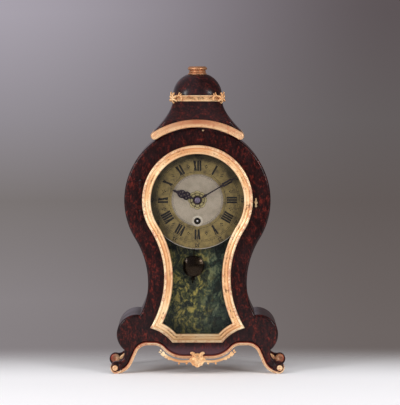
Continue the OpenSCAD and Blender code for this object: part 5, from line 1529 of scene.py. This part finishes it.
class OBJECT_OT_clock_dial(bpy.types.Operator):
    """Builds the numerals, minute marks and lines of the dial, and its gilt rosette"""

    bl_idname = "clock.dial"
    bl_label = "Dial"

    def execute(self, context):
        sizes = context.scene.clock_sizes
        wax = paint("black wax")
        y0, y1 = DIAL_Y - 0.09, DIAL_Y - 0.01
        height, foot = sizes.numeral_height / MM, sizes.numeral_ring / MM
        parts = []
        for hour, text in enumerate(NUMERALS):
            shapes, x = [], 0.0
            for kind in text:
                strokes, width = letter(kind, height)
                shapes += [[(x + u, v) for u, v in s] for s in strokes]
                x += width
            for k, s in enumerate(shapes):
                lift = 0.004 * (k % 5)
                outline = [on_dial(HOUR_STEP * hour, u - x / 2, foot + v) for u, v in s]
                parts.append(plate(outline, y0 - lift, y1))
        for hour in range(12):
            at = HOUR_STEP * (hour + 0.5)
            for u, v, w in HALF_HOUR:
                dot = [on_dial(at, u + w * math.sin(q), v + w * math.cos(q)) for q in full_turn(8)]
                parts.append(plate(dot, y0, y1))
        minutes = sizes.minute_ring / MM
        for radius, width in ((foot - 1.6, 0.35), (minutes - 1.3, 0.3), (minutes + 1.0, 0.3)):
            parts.append(ring_line(radius, width, y0, y1))
        build("hour_numerals", "case", *merge(parts), wax, "dial_brass", (), 30.0)
        values = {
            "Count": 60,
            "Radius": sizes.minute_ring,
            "Bar": (0.0021, 0.0004, 0.00008),
            "Turn": (math.radians(90), 0.0, 0.0),
            "Move": (0.0, (DIAL_Y - 0.05) * MM, DIAL_Z * MM),
        }
        dress("minute_marks", "case", grow("marks", wax, values), wax, "dial_brass")
        self.minute_numerals(wax)
        self.centre_lines()
        self.rosette()
        return {"FINISHED"}

    def minute_numerals(self, wax):
        """Small generic minute figures outside the marks."""
        meshes = []
        for k in range(12):
            figure = bpy.data.curves.new("figure", "FONT")
            figure.body = str(60 if k == 0 else 5 * k)
            figure.size, figure.extrude, figure.offset = 0.0072, 0.00004, 0.00016
            figure.align_x, figure.align_y = "CENTER", "CENTER"
            carrier = new_object("figure", figure)
            mesh = evaluated(carrier)
            bpy.data.objects.remove(carrier)
            x, z = on_dial(HOUR_STEP * k, 0.0, FIGURE_RING)
            place = Matrix.Translation((x * MM, (DIAL_Y - 0.05) * MM, z * MM))
            turn = Euler((math.radians(90), math.radians(HOUR_STEP * k), 0.0)).to_matrix().to_4x4()
            mesh.transform(place @ turn)
            meshes.append(mesh)
        dress("minute_figures", "case", joined(meshes), wax, "dial_brass")

    def centre_lines(self):
        """Engraved lines on the silvered centre, a painted highlight line of bright steel along the dial's
        rim, and the ring round the winding hole.
        """
        y = DIAL_Y - 0.5
        parts = [ring_line(CENTRE_R - r, w, y - 0.03, y + 0.05) for r, w in ((2.6, 0.3), (1.0, 0.45))]
        build("centre_lines", "case", *merge(parts), paint("browned steel"), "silvered", (), 30.0)
        # Painted highlight: a bright steel line round the dial's edge.
        rim = ring_line(DIAL_R - 0.85, 0.7, DIAL_Y - 0.12, DIAL_Y - 0.01)
        build("dial_rim_highlight", "case", *rim, paint("highlight steel"), "silvered", (), 30.0)
        section = ((0.25, -0.1), (0.3, -0.35), (1.0, -0.42), (3.0, -0.36), (3.3, -0.1))
        shape = hoop([(WIND_R + u, DIAL_Y - 0.38 + d) for u, d in section], WIND_Z, 64)
        build("winding_ring", "case", *shape, paint("bright silvering"), "silvered", (), 40.0)
        # Painted shade: a black sleeve lines the winding hole.
        section = ((-0.03, -0.3), (0.15, -0.42), (0.15, -0.2), (-0.03, 1.4), (-1.4, 1.9), (-1.4, 1.8))
        shape = hoop([(WIND_R + u, DIAL_Y + d) for u, d in section], WIND_Z, 64)
        build("winding_hole_shade", "case", *shape, paint("black wax"), "dial_brass", (), 40.0)
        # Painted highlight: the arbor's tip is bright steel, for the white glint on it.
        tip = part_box("barrel_arbor")[0][1] / MM
        profile = [(0.0, -0.42), (0.8, -0.36), (1.35, -0.12), (1.5, 0.0), (1.5, 0.05), (0.0, 0.05)]
        shape = lathe(profile, 24, lambda u, v, h: (u, tip + h, WIND_Z + v))
        build("winding_tip", "winding", *shape, paint("highlight steel"), "movement_steel", (), 40.0)

    def rosette(self):
        """Gilt rosette of eight petals under the hands."""
        count, steps = 128, 12
        y = DIAL_Y - 0.5
        rings, marks = [], []
        for k in range(steps + 1):
            q = k / steps
            bead = math.exp(-(((q - 0.84) / 0.1) ** 2))
            hollow = 2.6 if q > 0.96 or q < 0.3 or 0.6 < q < 0.72 else 0.0
            ring = []
            for a in full_turn(count):
                lobe = abs(math.cos(4 * a)) ** 0.45
                r = PIPE_R + 0.1 + (ROSETTE_R + PETAL * lobe - PIPE_R) * q
                swell = 0.3 * math.sin(math.pi * min(1.0, q * 1.2)) ** 2 * lobe
                rise = 0.14 + swell + 0.36 * bead * (0.4 + 0.6 * lobe)
                ring.append((r * math.sin(a), y - rise, DIAL_Z + r * math.cos(a)))
                marks.append(0.9 * bead - 2.6 * (1 - lobe) - hollow)
            rings.append(ring)
        rings += [[(x, y, z) for x, _, z in ring] for ring in (rings[-1], rings[0])]
        marks += [-1.0] * (2 * count)
        finish = paint("rosette brass"), "gilt", ("dial_rosette",), 60.0, marks
        build("gilt_rosette", "case", *loft(rings, True, True), *finish)


class OBJECT_OT_clock_hands(bpy.types.Operator):
    """Builds the two pierced hands at their places in the photograph"""

    bl_idname = "clock.hands"
    bl_label = "Hands"

    def execute(self, context):
        hour = [(1.3, 5.6), (1.3, 9.6), (2.8, 12.2), (5.9, 14.4), (6.6, 18.0), (5.0, 21.0), (6.4, 24.2)]
        hour += [(5.2, 28.0), (2.8, 31.0), (1.5, 33.0), (1.9, 35.0), (0.5, 39.0), (0.0, 40.0)]
        pairs = ((3.2, 16.6, 1.2), (3.1, 24.4, 1.2), (1.7, 27.6, 0.6))
        rounds = [(s * u, v, r) for s in (1, -1) for u, v, r in pairs]
        rounds += [(0.0, 20.4, 1.3), (0.0, 13.6, 0.7)]
        self.hand("pierced_hour_hand", "hour", "hour_hand", HOUR_AT, HOUR_HUB, hour, rounds, ())
        minute = [(1.0, 4.6), (1.0, 10.4), (2.0, 12.2), (2.1, 14.0), (1.0, 16.2), (0.9, 38.0), (2.0, 40.2)]
        minute += [(1.2, 42.0), (2.7, 45.0), (2.9, 49.0), (2.5, 54.0), (1.7, 58.6), (0.7, 62.0), (0.0, 64.0)]
        slots = ([(0.0, 45.4), (1.0, 46.8), (1.15, 49.4), (0.95, 54.0), (0.4, 57.4), (0.0, 58.0)],)
        self.hand("pierced_minute_hand", "centre", "minute_hand", MINUTE_AT, MINUTE_HUB, minute, (), slots)
        return {"FINISHED"}

    def hand(self, name, body, node, at, hub, half, rounds, slots):
        """A flat hand with rounded edges, filed on its face, in place of a solid of the same size."""
        hub_r, bore = hub
        lo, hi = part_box(node)
        joint = math.sqrt(hub_r**2 - half[0][0] ** 2)
        boss = arc((0.0, 0.0), hub_r, 270, math.degrees(math.atan2(joint, half[0][0])) + 360, 30)
        right = boss + [(u, v) for u, v in half if v > hub_r]
        loops = [whole(right), arc((0.0, 0.0), bore, 0, 360, 32)[:-1]]
        loops += [arc((u, v), r, 0, 360, 16)[:-1] for u, v, r in rounds]
        loops += [whole(slot) for slot in slots]
        outline, *holes = ([on_dial(at, u, v) for u, v in loop] for loop in loops)
        shape = plate(tidy(outline), lo[1] / MM, hi[1] / MM, holes)
        build(name, body, *shape, paint("browned steel"), "hand_steel", (node,), 30.0, None, 0.12)


class OBJECT_OT_clock_pendulum(bpy.types.Operator):
    """Builds the lens-shaped bob in its resting place"""

    bl_idname = "clock.pendulum"
    bl_label = "Pendulum bob"

    def execute(self, context):
        turn = math.radians(SWING_REST)
        edge = 0.35
        profile = [(0.0, -BOB_T / 2)]
        for s in (i / 24 for i in range(1, 25)):
            profile.append((BOB_R * s, -edge - (BOB_T / 2 - edge) * (1 - s * s)))
        profile += [(r, -h) for r, h in reversed(profile)]

        def place(x, v, w):
            z = DIAL_Z - PALLET_Z - BOB_DROP + v
            swung = (x * math.cos(turn) + z * math.sin(turn), z * math.cos(turn) - x * math.sin(turn))
            return (swung[0], ROD_Y + w, PALLET_Z + swung[1])

        brass = paint("bob brass")
        build("bob_lens", "pendulum", *lathe(profile, 96, place), brass, "bob_brass", ("pendulum_bob",), 50.0)
        return {"FINISHED"}


NODE_FINISH = {
    "painted_wood": "case paint",
    "gilt": "gilding",
    "green_board": "green marbling",
    "block_wood": "softwood",
    "glass": "window glass",
    "dark_iron": "old iron",
    "dial_brass": "dial brass",
    "silvered": "silvering",
    "hand_steel": "browned steel",
    "movement_brass": "movement brass",
    "movement_steel": "movement steel",
    "bob_brass": "bob brass",
}
OWN_FINISH = {
    "case_nails": "nail brass",
    "turn_screws": "nail brass",
    "door_catch": "nail brass",
    "case_floor": "softwood",
    "hinge_leaves": "case paint",
    "door_hinge_straps": "case paint",
    "hand_collet": "blued steel",
    "barrel_arbor": "old iron",
}


class OBJECT_OT_clock_finishes(bpy.types.Operator):
    """Gives every solid of the model that stays in sight its own finish"""

    bl_idname = "clock.finishes"
    bl_label = "Finishes of the solids"

    def execute(self, context):
        slots = {row["node"]: row["material_slot"] for row in frame["record"]["subparts"]}
        for name, piece in frame["nodes"].items():
            material = paint(OWN_FINISH.get(name, NODE_FINISH[slots[name]]))
            if piece.material_slots:
                for place in piece.material_slots:
                    place.material = material
            else:
                piece.data.materials.append(material)
        return {"FINISHED"}


# Room

PHOTO_WIDTH, PHOTO_HEIGHT = 400, 405
SCALE = 1.463 * MM
CAMERA_AWAY, CAMERA_Z, AIM_X, AIM_Z = 4.0, 0.480, 0.0038, 0.2516
# Name, place, power, width and height of each lamp, and whether it shows in what is glossy
LAMPS = (
    ("window -1", (-1.55, -1.62, 1.0), 25.0, 0.46, 0.8, True),
    ("window 1", (1.55, -1.62, 1.0), 21.0, 0.46, 0.8, True),
    ("ceiling", (0.0, -0.55, 2.1), 13.0, 1.6, 1.2, False),
)
LAMPS_AIM = (0.0, 0.0, 0.22)
FLOOR_REACH, FLOOR_BACK, FLOOR_Z = 6000.0, 3000.0, -0.1


class OBJECT_OT_clock_room(bpy.types.Operator):
    """Makes the pale floor, the lamps, the backdrop colour and the camera"""

    bl_idname = "clock.room"
    bl_label = "Room"

    def execute(self, context):
        self.floor()
        self.backdrop(context.scene)
        for row in LAMPS:
            self.lamp(*row)
        self.camera(context.scene)
        return {"FINISHED"}

    def floor(self):
        """A wide pale floor that fades out away from the clock."""
        out = FLOOR_REACH
        corners = ((-out, -out), (out, -out), (out, FLOOR_BACK), (-out, FLOOR_BACK))
        ground = new_object("floor", raw([(x, y, FLOOR_Z) for x, y in corners], [(0, 1, 2, 3)]))
        pale = {"Base_Color": (0.965, 0.955, 0.985, 1.0), "Roughness": 0.7}
        material, tree, shader = principled("pale floor", **pale)
        x, y, _ = axes(tree, where(tree))
        reach = length(tree, times(tree, x, 0.35), plus(tree, y, 0.55))
        tree.links.new(step(tree, reach, 0.42, 0.86, 1.0, 0.0), shader.inputs["Alpha"])
        ground.data.materials.append(material)

    def backdrop(self, scene):
        """Grey studio backdrop for what looks at it, and an even pale light for everything else."""
        world = bpy.data.worlds.new("studio")
        scene.world = world
        world.use_nodes = True
        tree = world.node_tree
        tree.nodes.clear()
        x, _, z = axes(tree, add(tree, "ShaderNodeTexCoord").outputs["Generated"])
        up = scaled(tree, z, -0.104, 0.012)
        heights = (0.0, 0.1, 0.41, 0.66, 1.0)
        left = ((135, 129, 131), (137, 131, 133), (123, 117, 116), (145, 140, 146), (169, 163, 173))
        right = ((108, 100, 98), (106, 98, 96), (98, 90, 88), (99, 93, 93), (93, 85, 87))
        left, right = ([(at, linear(*c)) for at, c in zip(heights, side)] for side in (left, right))
        shade = blend(tree, step(tree, x, -0.085, 0.075), ramp(tree, up, left), ramp(tree, up, right))
        seen = add(tree, "ShaderNodeBackground", Color=shade, Strength=1.0)
        lit = add(tree, "ShaderNodeBackground", Color=(1.0, 0.99, 0.98, 1.0), Strength=0.42)
        path = add(tree, "ShaderNodeLightPath").outputs
        looks = maths(tree, "MAXIMUM", path["Is Camera Ray"], path["Is Transmission Ray"])
        looks = maths(tree, "MAXIMUM", looks, path["Is Glossy Ray"])
        mixed = add(tree, "ShaderNodeMixShader", _0=looks, _1=lit.outputs[0], _2=seen.outputs[0])
        add(tree, "ShaderNodeOutputWorld", Surface=mixed.outputs[0])

    def lamp(self, name, place, power, width, height, mirrored):
        """A soft lamp that looks at the middle of the clock."""
        light = bpy.data.lights.new(name, "AREA")
        light.shape, light.size, light.size_y, light.energy = "RECTANGLE", width, height, power
        lamp = new_object(name, light)
        lamp.location = place
        lamp.visible_glossy = mirrored
        aim = Vector(LAMPS_AIM) - Vector(place)
        lamp.rotation_euler = aim.to_track_quat("-Z", "Y").to_euler()

    def camera(self, scene):
        """The photograph's view: one pixel of it is SCALE wide at the clock's front."""
        lens = bpy.data.cameras.new("camera")
        eye = new_object("camera", lens)
        front = FRONT_Y * MM
        eye.location = (AIM_X, front - CAMERA_AWAY, CAMERA_Z)
        aim = Vector((AIM_X, front, AIM_Z)) - eye.location
        eye.rotation_euler = aim.to_track_quat("-Z", "Y").to_euler()
        lens.sensor_width = 36.0
        lens.lens = lens.sensor_width * aim.length / (max(PHOTO_WIDTH, PHOTO_HEIGHT) * SCALE)
        lens.clip_end = 50.0
        scene.camera = eye
        scene.view_settings.view_transform = "Standard"


OPERATORS = (
    OBJECT_OT_clock_finishes,
    OBJECT_OT_clock_case,
    OBJECT_OT_clock_hood,
    OBJECT_OT_clock_mouldings,
    OBJECT_OT_clock_feet,
    OBJECT_OT_clock_apron_mount,
    OBJECT_OT_clock_door,
    OBJECT_OT_clock_dial,
    OBJECT_OT_clock_hands,
    OBJECT_OT_clock_pendulum,
    OBJECT_OT_clock_room,
)


class VIEW3D_PT_clock(bpy.types.Panel):
    """Lists the clock's pieces and their settings"""

    bl_label = "Waisted table clock"
    bl_idname = "VIEW3D_PT_clock"
    bl_space_type = "VIEW_3D"
    bl_region_type = "UI"
    bl_category = "Clock"

    def draw(self, context):
        for operator in OPERATORS:
            self.layout.operator(operator.bl_idname)
        for settings in (context.scene.clock_sizes, context.scene.clock_colours):
            for name in settings.__annotations__:
                self.layout.prop(settings, name)


CLASSES = (ClockColours, ClockSizes, *OPERATORS, VIEW3D_PT_clock)


def register():
    """Makes the classes and the scene's settings known."""
    for cls in CLASSES:
        bpy.utils.register_class(cls)
    bpy.types.Scene.clock_colours = bpy.props.PointerProperty(type=ClockColours)
    bpy.types.Scene.clock_sizes = bpy.props.PointerProperty(type=ClockSizes)


def unregister():
    """Takes back what register() did."""
    del bpy.types.Scene.clock_colours
    del bpy.types.Scene.clock_sizes
    for cls in reversed(CLASSES):
        bpy.utils.unregister_class(cls)


def main():
    """Calls every operator in turn."""
    register()
    scene = bpy.context.scene
    Stage.palette = Palette(scene.clock_colours)
    Stage.palette.all()
    Stage.trees = {"marks": marks_tree(), "leaves": leaves_tree()}
    for operator in OPERATORS:
        group_name, call = operator.bl_idname.split(".")
        if getattr(getattr(bpy.ops, group_name), call)() != {"FINISHED"}:
            raise RuntimeError(f"{operator.bl_label} wasn't made")


if __name__ == "__main__":
    main()
